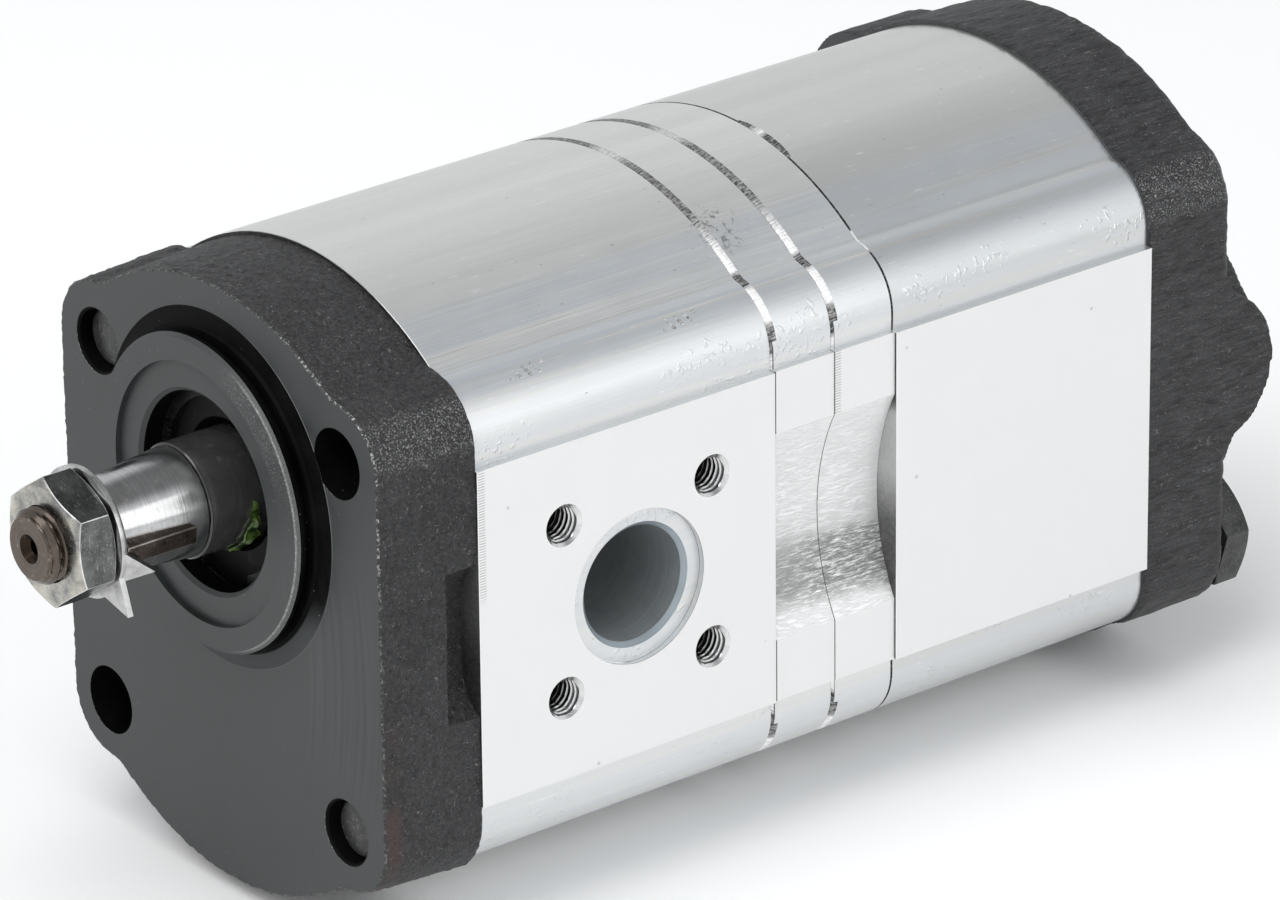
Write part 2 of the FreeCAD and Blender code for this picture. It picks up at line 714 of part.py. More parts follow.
def make_front_cover():
    """Cast front cover with the mounting face, the spigot and the seal bore."""
    body = new_body("front_cover")
    drawing = Drawing(body, "XZ_Plane")
    add_section_outline(drawing, front_crown_radius, front_lobe_radius)
    blank = pad(body, drawing, size.front_cover_length, draft=size.front_cover_draft)
    round_edges(
        body,
        blank,
        size.front_cover_hollow,
        lambda edge: is_blend_corner(edge, front_crown_radius, front_lobe_radius),
    )
    groove_back = -(size.spigot_height - size.spigot_lip - size.spigot_groove_width)
    lip_back = -(size.spigot_height - size.spigot_lip)
    front = -size.spigot_height
    spin(
        body,
        [
            (size.front_cover_length / 2, size.seal_bore_radius),
            (size.front_cover_length / 2, size.face_recess_radius),
            (0, size.spigot_foot_radius),
            (groove_back / 2, size.spigot_radius + size.spigot_chamfer),
            (groove_back, size.spigot_radius + size.spigot_chamfer / 2),
            (groove_back, size.spigot_groove_radius),
            (lip_back, size.spigot_groove_radius),
            (lip_back, size.spigot_radius),
            (front + size.spigot_chamfer, size.spigot_radius),
            (front, size.spigot_radius - size.spigot_chamfer),
            (front, size.seal_bore_radius),
        ],
    )
    recess_floor = front + size.face_recess_depth
    ring_front = size.seal_bore_depth - size.seal_width - size.ring_width
    ring_back = size.seal_bore_depth - size.seal_width
    hole_radius = size.journal_radius + size.shaft_hole_clearance
    spin(
        body,
        [
            (front, 0),
            (front, size.face_recess_radius),
            (recess_floor, size.face_recess_radius),
            (recess_floor, size.seal_bore_radius + size.seal_bore_chamfer),
            (recess_floor + size.seal_bore_chamfer, size.seal_bore_radius),
            (ring_front, size.seal_bore_radius),
            (ring_front, size.seal_bore_radius + size.ring_groove_depth),
            (ring_back, size.seal_bore_radius + size.ring_groove_depth),
            (ring_back, size.seal_bore_radius),
            (size.seal_bore_depth, size.seal_bore_radius),
            (size.seal_bore_depth, hole_radius),
            (size.front_cover_length, hole_radius),
            (size.front_cover_length, 0),
        ],
        cut=True,
    )
    thread_hole_radius = size.screw_radius + size.screw_clearance
    cut_bolt_holes(body, size.front_cover_length, thread_hole_radius)
    slope = Measure(
        math.tan(math.radians(size.screw_mouth_angle.number)), "tan(Sizes.screw_mouth_angle)"
    )
    drawing = Drawing(body, "XZ_Plane")
    for across, up in SCREW_CORNERS:
        add_circle(
            drawing,
            across * size.bolt_offset,
            mid_height + up * size.bolt_offset,
            thread_hole_radius + size.screw_mouth_depth * slope,
        )
    pocket(body, drawing, size.screw_mouth_depth, draft=-size.screw_mouth_angle)
    cut_side_notches(body)
    cut_joint(body, size.front_cover_length, False, True)


def cut_side_notches(body):
    """Notch in both sides of the front cover, open at the joint, flat with round ends."""
    slope = Measure(
        math.tan(math.radians(size.front_cover_draft.number)), "tan(Sizes.front_cover_draft)"
    )
    half_width = size.bolt_offset + front_lobe_radius + size.front_cover_length * slope
    run = size.notch_reach - size.notch_floor_reach
    radius = (run * run + size.notch_depth * size.notch_depth) / (2 * size.notch_depth)
    drawing = Drawing(body, "XZ_Plane", size.front_cover_length - size.notch_length)
    for side in (1, -1):
        add_slot(
            drawing,
            side * (half_width - size.notch_depth + radius),
            mid_height + size.notch_floor_reach,
            mid_height - size.notch_floor_reach,
            radius,
        )
    pocket(body, drawing, size.notch_length)


def make_rear_cover():
    """Cast rear cover with a boss round the upper screw and a hump across its back."""
    body = new_body("rear_cover")
    drawing = Drawing(body, "XZ_Plane")
    add_section_outline(drawing, rear_crown_radius, rear_lobe_radius)
    pad(body, drawing, size.rear_cover_length)
    drawing = Drawing(body, "XZ_Plane")
    boss_across, boss_up = SCREW_CORNERS[0]
    add_circle(
        drawing,
        boss_across * size.bolt_offset,
        mid_height + boss_up * size.bolt_offset,
        size.rear_boss_radius,
    )
    blank = pad(body, drawing, size.rear_cover_length)
    half_width = size.bolt_offset + rear_lobe_radius
    boss_drop = math.sqrt(size.rear_boss_radius.number**2 - rear_lobe_radius.number**2)

    def in_hollow(edge):
        return (
            is_blend_corner(edge, rear_crown_radius, rear_lobe_radius)
            or is_blend_corner(edge, rear_crown_radius, size.rear_boss_radius)
            or is_lengthwise(edge, half_width.number, size.bolt_offset.number - boss_drop)
        )

    def on_rear_edge(edge):
        box = edge.BoundBox
        rear = size.rear_cover_length.number
        return abs(box.YMin - rear) < 1e-3 and abs(box.YMax - rear) < 1e-3

    hollowed = round_edges(body, blank, size.rear_cover_hollow, in_hollow)
    round_edges(body, hollowed, size.cover_edge_round, on_rear_edge)
    drawing = Drawing(body, "YZ_Plane")
    add_hump_outline(drawing)
    pad(body, drawing, 2 * half_width, backward=False, both_ways=True)
    drawing = Drawing(body, "YZ_Plane")
    add_flank_outline(drawing)
    flank_length = 2 * (half_width - size.hump_flank_inset)
    pad(body, drawing, flank_length, backward=False, both_ways=True)
    drawing = Drawing(body, "XZ_Plane", size.rear_cover_length)
    for across, up in SCREW_CORNERS:
        add_circle(
            drawing,
            across * size.bolt_offset,
            mid_height + up * size.bolt_offset,
            size.spotface_radius,
        )
    pocket(body, drawing, size.hump_height)
    cut_bolt_holes(body, size.rear_cover_length + size.hump_height, size.screw_hole_radius)
    cut_joint(body, None, True, True)
    place(body, along=rear_cover_place)


def add_hump_outline(drawing):
    """Round hump with hollow corners, in (along, up), standing on the rear face."""
    rear = size.rear_cover_length.number
    radius = size.hump_radius.number
    blend = size.hump_blend.number
    centre_along = rear + size.hump_height.number - radius
    centre_up = mid_height.number + size.hump_rise.number
    blend_along = rear + blend
    blend_up = math.sqrt((radius + blend) ** 2 - (blend_along - centre_along) ** 2)
    share = radius / (radius + blend)
    touch_along = centre_along + (blend_along - centre_along) * share
    touch_up = blend_up * share
    high = centre_up + blend_up
    low = centre_up - blend_up
    root = rear / 2
    edges = [
        line_between((root, low), (rear, low)),
        arc_between((blend_along, low), blend, (rear, low), (touch_along, centre_up - touch_up)),
        arc_between(
            (centre_along, centre_up),
            radius,
            (touch_along, centre_up - touch_up),
            (rear + size.hump_height.number, centre_up),
        ),
        arc_between(
            (centre_along, centre_up),
            radius,
            (rear + size.hump_height.number, centre_up),
            (touch_along, centre_up + touch_up),
        ),
        arc_between((blend_along, high), blend, (touch_along, centre_up + touch_up), (rear, high)),
        line_between((rear, high), (root, high)),
        line_between((root, high), (root, low)),
    ]
    first = add_chain(drawing, edges)
    for index in range(first, first + len(edges)):
        drawing.relate("Block", index)


def add_flank_outline(drawing):
    """Four-cornered outline whose slanted sides touch the hump, in (along, up)."""
    lean = math.radians(size.hump_flank_angle.number)
    rear = size.rear_cover_length.number
    radius = size.hump_radius.number
    centre_along = rear + size.hump_height.number - radius
    centre_up = mid_height.number + size.hump_rise.number
    touch_along = centre_along + radius * math.cos(lean)
    touch_up = radius * math.sin(lean)
    root = rear - size.cover_edge_round.number
    root_up = touch_up + (touch_along - root) / math.tan(lean)
    corners = [
        (root, centre_up - root_up),
        (touch_along, centre_up - touch_up),
        (touch_along, centre_up + touch_up),
        (root, centre_up + root_up),
    ]
    edges = [line_between(corners[index - 1], corners[index]) for index in range(len(corners))]
    first = add_chain(drawing, edges)
    for index in range(first, first + len(edges)):
        drawing.relate("Block", index)


def make_joint_seal(name, place_along):
    """Moulded ring that runs round both gear bores."""
    body = new_body(name)
    drawing = Drawing(body, "XZ_Plane")
    add_racetrack(drawing, groove_inner_radius + size.groove_side_gap)
    add_racetrack(drawing, groove_inner_radius + size.groove_width - size.groove_side_gap)
    pad(body, drawing, size.groove_depth)
    place(body, along=place_along)


def make_dowels():
    """Dowel pins above and below the gears at every joint."""
    pins = []
    for joint in (
        front_body_place,
        front_plate_place,
        rear_plate_place,
        rear_body_place,
        rear_cover_place,
    ):
        for up in (1, -1):
            pin = DOC.addObject("Part::Cylinder", "dowel")
            pin.Placement = FreeCAD.Placement(
                FreeCAD.Vector(), FreeCAD.Rotation(FreeCAD.Vector(1, 0, 0), -90)
            )
            bind(pin, "Radius", size.dowel_radius)
            bind(pin, "Height", size.dowel_length)
            bind(pin, "Placement.Base.y", joint - size.dowel_length / 2)
            bind(pin, "Placement.Base.z", mid_height + up * dowel_reach)
            pins.append(pin)
    group = DOC.addObject("Part::Compound", "dowel_pins")
    group.Links = pins
    group.Label = "dowel_pins"


def make_screw(name, across, up):
    """Assembly screw from the rear cover into the front cover."""
    body = new_body(name)
    corner_radius = size.screw_head_across / math.sqrt(3)
    head_back = rear_face_place + size.screw_head_length
    spin(
        body,
        [
            (size.screw_tip_depth, 0),
            (size.screw_tip_depth, size.screw_radius - size.screw_tip_chamfer),
            (size.screw_tip_depth + size.screw_tip_chamfer, size.screw_radius),
            (rear_face_place, size.screw_radius),
            (rear_face_place, size.screw_face_radius),
            (head_back, size.screw_face_radius),
            (head_back, 0),
        ],
    )
    hexagon_length = size.screw_head_length - size.screw_face_height
    add_hexagon(body, rear_face_place + size.screw_face_height, corner_radius, hexagon_length)
    bevel_hexagon(body, head_back, size.screw_head_across / 2, corner_radius, -1)
    turn(body, size.screw_head_turn)
    place(body, across * size.bolt_offset, None, mid_height + up * size.bolt_offset)


def add_hexagon(body, along, corner_radius, length):
    """Hexagonal prism about the shaft direction."""
    drawing = Drawing(body, "XZ_Plane", along)
    half = corner_radius / 2
    side = corner_radius * math.sqrt(3) / 2
    add_polygon(
        drawing,
        [
            (side, half),
            (0, corner_radius),
            (-side, half),
            (-side, -half),
            (0, -corner_radius),
            (side, -half),
        ],
    )
    return pad(body, drawing, length)


def bevel_hexagon(body, face, flat_radius, corner_radius, inward):
    """Turns the corners of a hexagon down at an end face; inward is the way into the metal."""
    start_radius = flat_radius * HEXAGON_BEVEL_START
    fall = (corner_radius - start_radius) / 2
    outside = corner_radius * CUT_MARGIN
    return spin(
        body,
        [
            (face, start_radius),
            (face, outside),
            (face + inward * (fall + (outside - corner_radius) / 2), outside),
        ],
        cut=True,
    )


def gear_root_radius():
    """Root radius that leaves room for the other gear's tips."""
    return size.shaft_spacing / 2 - size.gear_addendum - size.gear_root_clearance


def involute_point(base, radius, turned, side):
    """Point of a tooth flank at a radius; turned is the flank's start angle on the base circle."""
    pressure = math.acos(min(1.0, base / radius))
    angle = side * (turned - (math.tan(pressure) - pressure))
    return radius * math.cos(angle), radius * math.sin(angle)


def add_tooth_outline(drawing, centre_angle):
    """One tooth: radial foot, involute flanks drawn as arcs, and a round tip."""
    rolling = size.shaft_spacing.number / 2
    tip = tip_radius.number
    pressure = math.radians(size.gear_pressure_angle.number)
    base = rolling * math.cos(pressure)
    thickness = math.pi * rolling / size.gear_teeth.number - size.gear_backlash.number
    start = thickness / (2 * rolling) + math.tan(pressure) - pressure
    foot = gear_root_radius().number - size.gear_tooth_foot.number

    def turned(point):
        across = point[0] * math.cos(centre_angle) - point[1] * math.sin(centre_angle)
        up = point[0] * math.sin(centre_angle) + point[1] * math.cos(centre_angle)
        return FreeCAD.Vector(across, up, 0)

    flanks = {}
    for side in (1, -1):
        flanks[side] = [
            turned((foot * math.cos(start), side * foot * math.sin(start))),
            turned(involute_point(base, base, start, side)),
            turned(involute_point(base, (base * 2 + tip) / 3, start, side)),
            turned(involute_point(base, tip, start, side)),
        ]
    low_foot, low_base, low_flank, low_tip = flanks[-1]
    high_foot, high_base, high_flank, high_tip = flanks[1]
    edges = [
        Part.LineSegment(low_foot, low_base),
        Part.ArcOfCircle(low_base, low_flank, low_tip),
        Part.ArcOfCircle(low_tip, turned((tip, 0)), high_tip),
        Part.ArcOfCircle(high_tip, high_flank, high_base),
        Part.LineSegment(high_base, high_foot),
        Part.LineSegment(high_foot, low_foot),
    ]
    first = add_chain(drawing, edges)
    for index in range(first, first + len(edges)):
        drawing.relate("Block", index)


def add_teeth(body, along, width, first_angle):
    """Ring of teeth round the shaft axis; the first tooth stands at an angle in degrees."""
    drawing = Drawing(body, "XZ_Plane", along)
    add_tooth_outline(drawing, math.radians(first_angle))
    tooth = pad(body, drawing, width)
    ring = body.newObject("PartDesign::PolarPattern", f"{body.Label}_teeth")
    ring.Originals = [tooth]
    ring.Axis = (drawing.sketch, ["N_Axis"])
    ring.Angle = 360
    bind(ring, "Occurrences", size.gear_teeth)
    body.Tip = ring
    return ring


def gear_place(section_place):
    """Front face of the gears in a section."""
    return section_place + size.block_length + size.gear_end_clearance


def gear_width(section_length):
    """Width of the gears between the bearing blocks of a section."""
    return section_length - 2 * size.block_length - 2 * size.gear_end_clearance


def trim_tang(body, along, length):
    """Cuts the two flats of a drive tang."""
    drawing = Drawing(body, "XZ_Plane", along)
    outside = size.tang_radius * CUT_MARGIN
    for side in (1, -1):
        near = side * size.tang_across / 2
        add_polygon(
            drawing,
            [(near, -outside), (side * outside, -outside), (side * outside, outside), (near, outside)],
        )
    return pocket(body, drawing, length)


def make_drive_shaft():
    """Front drive gear in one piece with the tapered and threaded shaft."""
    body = new_body("drive_shaft")
    tang_length = size.plate_length - size.tang_gap / 2
    tang_end = front_plate_place + tang_length
    gear_front = gear_place(front_body_place)
    gear_back = gear_front + gear_width(size.front_body_length)
    thread_front = cone_tip_place - size.thread_length
    root = gear_root_radius()
    spin(
        body,
        [
            (thread_front + size.centre_hole_depth, 0),
            (thread_front + size.centre_hole_radius, size.centre_hole_radius / 2),
            (thread_front, size.centre_hole_radius),
            (thread_front, size.thread_radius - size.thread_chamfer),
            (thread_front + size.thread_chamfer, size.thread_radius),
            (cone_tip_place, size.thread_radius),
            (cone_tip_place, cone_tip_radius),
            (-size.taper_start, size.taper_radius),
            (-size.taper_start, size.journal_radius),
            (gear_front, size.journal_radius),
            (gear_front, root),
            (gear_back, root),
            (gear_back, size.journal_radius),
            (front_plate_place, size.journal_radius),
            (front_plate_place, size.tang_radius),
            (tang_end, size.tang_radius),
            (tang_end, 0),
        ],
    )
    trim_tang(body, front_plate_place, tang_length)
    cut_key_slot(body)
    add_teeth(body, gear_front, gear_width(size.front_body_length), 0)


def key_middle():
    """Middle of the key's disc from the shaft axis."""
    cone_radius = size.taper_radius - (size.key_place - size.taper_start) / size.taper_ratio / 2
    return cone_radius + size.key_proud - size.key_height + size.key_disc_radius


def add_key_outline(drawing, disc_radius):
    """Half-round outline with its flat to the outside, in (across, along)."""
    middle = key_middle().number
    flat = middle - size.key_disc_radius.number + size.key_height.number
    along = -size.key_place.number
    reach = math.sqrt(disc_radius.number**2 - (flat - middle) ** 2)
    top = (flat, along + reach)
    low = (flat, along - reach)
    first = add_chain(
        drawing,
        [arc_between((middle, along), disc_radius.number, top, low), line_between(low, top)],
    )
    drawing.fix_point(first, 3, key_middle(), -size.key_place)
    drawing.fix("Radius", first, value=disc_radius)
    end_across = key_middle() - size.key_disc_radius + size.key_height
    drawing.relate("Vertical", first + 1)
    drawing.fix("DistanceX", -1, 1, first + 1, 1, value=end_across)


def cut_key_slot(body):
    """Half-round slot for the key in the cone."""
    drawing = Drawing(body, "XY_Plane", turned=size.key_turn)
    add_key_outline(drawing, size.key_disc_radius + size.key_clearance)
    return pocket(body, drawing, size.key_width + 2 * size.key_clearance, both_ways=True)


def make_key():
    """Half-round key in the cone of the shaft."""
    body = new_body("shaft_key")
    drawing = Drawing(body, "XY_Plane")
    add_key_outline(drawing, size.key_disc_radius)
    pad(body, drawing, size.key_width, backward=False, both_ways=True)
    turn(body, size.key_turn)


def make_driven_gear(name, section_place, section_length):
    """Driven gear in one piece with its two journals, half a tooth out of step."""
    body = new_body(name)
    width = gear_width(section_length)
    root = gear_root_radius()
    gear_front = size.block_length + size.gear_end_clearance
    gear_back = gear_front + width
    spin(
        body,
        [
            (size.journal_end_gap, 0),
            (size.journal_end_gap, size.journal_radius),
            (gear_front, size.journal_radius),
            (gear_front, root),
            (gear_back, root),
            (gear_back, size.journal_radius),
            (section_length - size.journal_end_gap, size.journal_radius),
            (section_length - size.journal_end_gap, 0),
        ],
    )
    add_teeth(body, gear_front, width, 180 / size.gear_teeth.number)
    place(body, along=section_place, up=-size.shaft_spacing)


def make_rear_drive_gear():
    """Rear drive gear with its journals and the tang that the coupling turns."""
    body = new_body("rear_drive_gear")
    width = gear_width(size.rear_body_length)
    root = gear_root_radius()
    tang_length = size.plate_length - size.tang_gap / 2
    gear_front = size.block_length + size.gear_end_clearance
    gear_back = gear_front + width
    spin(
        body,
        [
            (-tang_length, 0),
            (-tang_length, size.tang_radius),
            (0, size.tang_radius),
            (0, size.journal_radius),
            (gear_front, size.journal_radius),
            (gear_front, root),
            (gear_back, root),
            (gear_back, size.journal_radius),
            (size.rear_body_length - size.journal_end_gap, size.journal_radius),
            (size.rear_body_length - size.journal_end_gap, 0),
        ],
    )
    trim_tang(body, -tang_length, tang_length)
    add_teeth(body, gear_front, width, 0)
    place(body, along=rear_body_place)


def make_coupling():
    """Sleeve that joins the two drive tangs."""
    body = new_body("coupling_sleeve")
    length = 2 * (size.plate_length - size.coupling_inset)
    drawing = Drawing(body, "XZ_Plane")
    add_circle(drawing, 0, 0, size.coupling_radius)
    pad(body, drawing, length)
    drawing = Drawing(body, "XZ_Plane")
    radius = size.tang_radius + size.coupling_clearance
    half = size.tang_across / 2 + size.coupling_clearance
    rise = (radius * radius - half * half).root()
    corners = {
        (side, up): (side * half.number, up * rise.number) for side in (1, -1) for up in (1, -1)
    }
    edges = [
        line_between(corners[(1, -1)], corners[(1, 1)]),
        arc_between((0, 0), radius.number, corners[(1, 1)], corners[(-1, 1)]),
        line_between(corners[(-1, 1)], corners[(-1, -1)]),
        arc_between((0, 0), radius.number, corners[(-1, -1)], corners[(1, -1)]),
    ]
    first = add_chain(drawing, edges)
    for index, side in ((0, 1), (2, -1)):
        drawing.relate("Vertical", first + index)
        drawing.fix("DistanceX", -1, 1, first + index, 1, value=side * half)
    for index in (1, 3):
        drawing.fix_point(first + index, 3, 0, 0)
        drawing.fix("Radius", first + index, value=radius)
    pocket(body, drawing, length)
    place(body, along=front_plate_place + size.coupling_inset)


def make_bearing_block(name, along, gear_side_rear):
    """Bearing block round both journals, with relief pockets toward the gears."""
    body = new_body(name)
    radius = chamber_radius - size.block_clearance
    for up in (0, -size.shaft_spacing):
        drawing = Drawing(body, "XZ_Plane")
        add_circle(drawing, 0, up, radius)
        pad(body, drawing, size.block_length)
    drawing = Drawing(body, "XZ_Plane")
    for up in (0, -size.shaft_spacing):
        add_circle(drawing, 0, up, bush_radius)
    pocket(body, drawing, size.block_length)
    gear_face = size.block_length if gear_side_rear else None
    back_face = None if gear_side_rear else size.block_length
    drawing = Drawing(body, "XZ_Plane", gear_face)
    for side in (1, -1):
        near = side * size.block_relief_width / 2
        outside = side * radius
        high = mid_height + size.block_relief_width / 2
        low = mid_height - size.block_relief_width / 2
        add_polygon(drawing, [(near, low), (outside, low), (outside, high), (near, high)])
    pocket(body, drawing, size.block_relief_depth, reverse=gear_side_rear)
    drawing = Drawing(body, "XZ_Plane", back_face)
    for up in (0, -size.shaft_spacing):
        add_circle(drawing, 0, up, size.block_seal_radius)
        add_circle(drawing, 0, up, size.block_seal_radius + size.block_seal_width)
    pocket(body, drawing, size.block_seal_depth, reverse=not gear_side_rear)
    place(body, along=along)


def make_block_seals(name, along):
    """Two balance seals in the back of a bearing block."""
    rings = []
    for up in (0, 1):
        outer = DOC.addObject("Part::Cylinder", "seal_outside")
        inner = DOC.addObject("Part::Cylinder", "seal_inside")
        for cylinder, radius in (
            (outer, size.block_seal_radius + size.block_seal_width),
            (inner, size.block_seal_radius),
        ):
            cylinder.Placement = FreeCAD.Placement(
                FreeCAD.Vector(), FreeCAD.Rotation(FreeCAD.Vector(1, 0, 0), -90)
            )
            bind(cylinder, "Radius", radius)
            bind(cylinder, "Height", size.block_seal_depth)
            bind(cylinder, "Placement.Base.y", along)
            bind(cylinder, "Placement.Base.z", -up * size.shaft_spacing)
        ring = DOC.addObject("Part::Cut", "balance_seal")
        ring.Base = outer
        ring.Tool = inner
        rings.append(ring)
    group = DOC.addObject("Part::Compound", name)
    group.Links = rings
    group.Label = name


def make_bush(name, along, up):
    """Thin bearing bush pressed into a block."""
    body = new_body(name)
    drawing = Drawing(body, "XZ_Plane")
    add_circle(drawing, 0, 0, bush_radius)
    add_circle(drawing, 0, 0, bush_radius - size.bush_wall)
    pad(body, drawing, size.block_length)
    place(body, along=along, up=up)


def make_shaft_seal():
    """Lip seal round the shaft: a pressed case and a rubber lip toward the gears."""
    body = new_body("shaft_seal")
    lip = size.journal_radius + size.seal_lip_clearance
    wall = size.seal_width / 5
    middle = (size.seal_bore_radius + lip) / 2
    spin(
        body,
        [
            (0, lip + wall),
            (0, size.seal_bore_radius),
            (size.seal_width, size.seal_bore_radius),
            (size.seal_width, size.seal_bore_radius - wall),
            (wall, size.seal_bore_radius - wall),
            (wall, middle),
            (4 * wall, middle - wall),
            (4 * wall, lip + wall / 2),
            (3 * wall, lip),
            (5 * wall / 2, lip),
        ],
    )
    place(body, along=size.seal_bore_depth - size.seal_width)


def make_retaining_ring():
    """Open ring in the groove in front of the seal."""
    body = new_body("seal_retaining_ring")
    outer = size.seal_bore_radius + size.ring_groove_depth - size.groove_side_gap
    drawing = Drawing(body, "XZ_Plane")
    add_circle(drawing, 0, 0, outer)
    add_circle(drawing, 0, 0, outer - size.ring_height)
    pad(body, drawing, size.ring_width)
    drawing = Drawing(body, "XZ_Plane")
    half = size.ring_gap / 2
    low = -outer * CUT_MARGIN
    add_polygon(drawing, [(half, low), (half, 0), (-half, 0), (-half, low)])
    pocket(body, drawing, size.ring_width)
    place(body, along=size.seal_bore_depth - size.seal_width - size.ring_width)


def make_nut():
    """Hexagon nut on the shaft end."""
    body = new_body("shaft_nut")
    corner_radius = size.nut_across / math.sqrt(3)
    bore = size.thread_radius + size.thread_clearance
    add_hexagon(body, None, corner_radius, size.nut_length)
    bevel_hexagon(body, 0, size.nut_across / 2, corner_radius, 1)
    bevel_hexagon(body, size.nut_length, size.nut_across / 2, corner_radius, -1)
    drawing = Drawing(body, "XZ_Plane")
    add_circle(drawing, 0, 0, bore)
    pocket(body, drawing, size.nut_length)
    turn(body, size.nut_turn)
    place(body, along=nut_place)


def make_tab_washer():
    """Washer with two pointed tabs, one of them bent back."""
    reach = size.tab_reach.number
    radius = size.washer_radius.number
    thick = size.washer_length.number
    half = size.tab_width.number / 2
    root = math.sqrt(radius**2 - half**2) - size.tab_foot.number

    def tab():
        corners = [(root, 0, -half), (reach, 0, 0), (root, 0, half), (root, 0, -half)]
        outline = Part.makePolygon([FreeCAD.Vector(*corner) for corner in corners])
        return Part.Face(outline).extrude(FreeCAD.Vector(0, thick, 0))

    disc = Part.makeCylinder(radius, thick, FreeCAD.Vector(), BACKWARD)
    hole_radius = size.thread_radius.number + size.thread_clearance.number
    hole = Part.makeCylinder(hole_radius, thick, FreeCAD.Vector(), BACKWARD)
    flat_tab = tab()
    flat_tab.rotate(FreeCAD.Vector(), BACKWARD, size.flat_tab_turn.number)
    bent_tab = tab()
    bent_tab.rotate(FreeCAD.Vector(root, 0, 0), UP, size.tab_bend.number)
    bent_tab.rotate(FreeCAD.Vector(), BACKWARD, size.bent_tab_turn.number)
    washer = DOC.addObject("Part::Feature", "tab_washer")
    washer.Label = "tab_washer"
    washer.Shape = disc.fuse([flat_tab, bent_tab]).cut(hole).removeSplitter()
    place(washer, along=washer_place)


def make_everything():
    """Builds every sub-part of the pump."""
    make_front_cover()
    suction_radii = (
        size.suction_recess_radius,
        size.suction_port_radius,
        size.suction_throat_radius,
    )
    pressure_radii = (
        size.pressure_recess_radius,
        size.pressure_port_radius,
        size.pressure_throat_radius,
    )
    suction = (1, size.suction_offset, suction_radii, size.suction_bolt_spacing)
    front_pressure = (-1, size.suction_offset, pressure_radii, size.pressure_bolt_spacing)
    rear_pressure = (-1, size.rear_port_offset, pressure_radii, size.pressure_bolt_spacing)
    make_section_body(
        "front_body", front_body_place, size.front_body_length, (suction, front_pressure)
    )
    make_plate("front_plate", front_plate_place, True, False)
    make_plate("rear_plate", rear_plate_place, True, True)
    make_section_body(
        "rear_body",
        rear_body_place,
        size.rear_body_length,
        (rear_pressure,),
        front_bevel=size.body_front_bevel,
    )
    make_rear_cover()
    make_drive_shaft()
    make_driven_gear("front_driven_gear", front_body_place, size.front_body_length)
    make_coupling()
    make_rear_drive_gear()
    make_driven_gear("rear_driven_gear", rear_body_place, size.rear_body_length)
    for section, section_place, length in (
        ("front_section", front_body_place, size.front_body_length),
        ("rear_section", rear_body_place, size.rear_body_length),
    ):
        blocks = (
            ("front_block", section_place, True),
            ("rear_block", section_place + length - size.block_length, False),
        )
        for block, along, gear_side_rear in blocks:
            name = f"{section}_{block}"
            make_bearing_block(name, along, gear_side_rear)
            seal_place = along
            if not gear_side_rear:
                seal_place = along + size.block_length - size.block_seal_depth
            make_block_seals(f"{name}_seals", seal_place)
            make_bush(f"{name}_upper_bush", along, None)
            make_bush(f"{name}_lower_bush", along, -size.shaft_spacing)
    make_shaft_seal()
    make_retaining_ring()
    joint_seals = (
        ("front_cover_seal", front_body_place - size.groove_depth),
        ("front_plate_seal", front_plate_place),
        ("middle_plate_seal", rear_plate_place),
        ("rear_plate_seal", rear_body_place - size.groove_depth),
        ("rear_cover_seal", rear_cover_place),
    )
    for name, along in joint_seals:
        make_joint_seal(name, along)
    make_dowels()
    make_screw("upper_assembly_screw", -1, 1)
    make_screw("lower_assembly_screw", 1, -1)
    make_nut()
    make_tab_washer()
    make_key()


def sub_parts():
    """The objects that stand for a physical piece, each written to a file of its own."""
    used = set()
    for thing in DOC.Objects:
        if thing.TypeId in ("Part::Compound", "Part::Cut"):
            used.update(child.Name for child in thing.OutList)
    kinds = ("PartDesign::Body", "Part::Compound", "Part::Feature")
    return [thing for thing in DOC.Objects if thing.TypeId in kinds and thing.Name not in used]


def check_features():
    """Stops if an object failed, or if a cut or an addition changed nothing."""
    for thing in DOC.Objects:
        if {"Invalid", "Error"} & set(thing.State):
            raise RuntimeError(f"{thing.Label} failed: {thing.State}")
        base = getattr(thing, "BaseFeature", None)
        if base is None or thing.TypeId == "PartDesign::Body":
            continue
        change = thing.Shape.Volume - base.Shape.Volume
        removes = thing.TypeId in ("PartDesign::Pocket", "PartDesign::Groove")
        if removes and change > -1e-3:
            raise RuntimeError(f"{thing.Label} cuts nothing")
        if thing.TypeId in ("PartDesign::Pad", "PartDesign::Revolution") and change < 1e-3:
            raise RuntimeError(f"{thing.Label} adds nothing")


def write_files():
    """Checks each sub-part's shape and writes it."""
    os.makedirs("parts", exist_ok=True)
    pieces = sub_parts()
    for piece in pieces:
        shape = piece.Shape
        if shape.isNull() or not shape.isValid() or not shape.Solids:
            raise RuntimeError(f"{piece.Label} has no valid solid")
        if not re.fullmatch(r"[a-z0-9_]+", piece.Label):
            raise RuntimeError(f"{piece.Label} is not a plain name")
    for piece in pieces:
        piece.Shape.exportStep(f"parts/{piece.Label}.step")
        solids = len(piece.Shape.Solids)
        print(f"{piece.Label}: {solids} solid(s), {piece.Shape.Volume:.0f} mm3")
    print(f"{len(pieces)} sub-parts")


make_everything()
DOC.recompute()
check_features()
write_files()
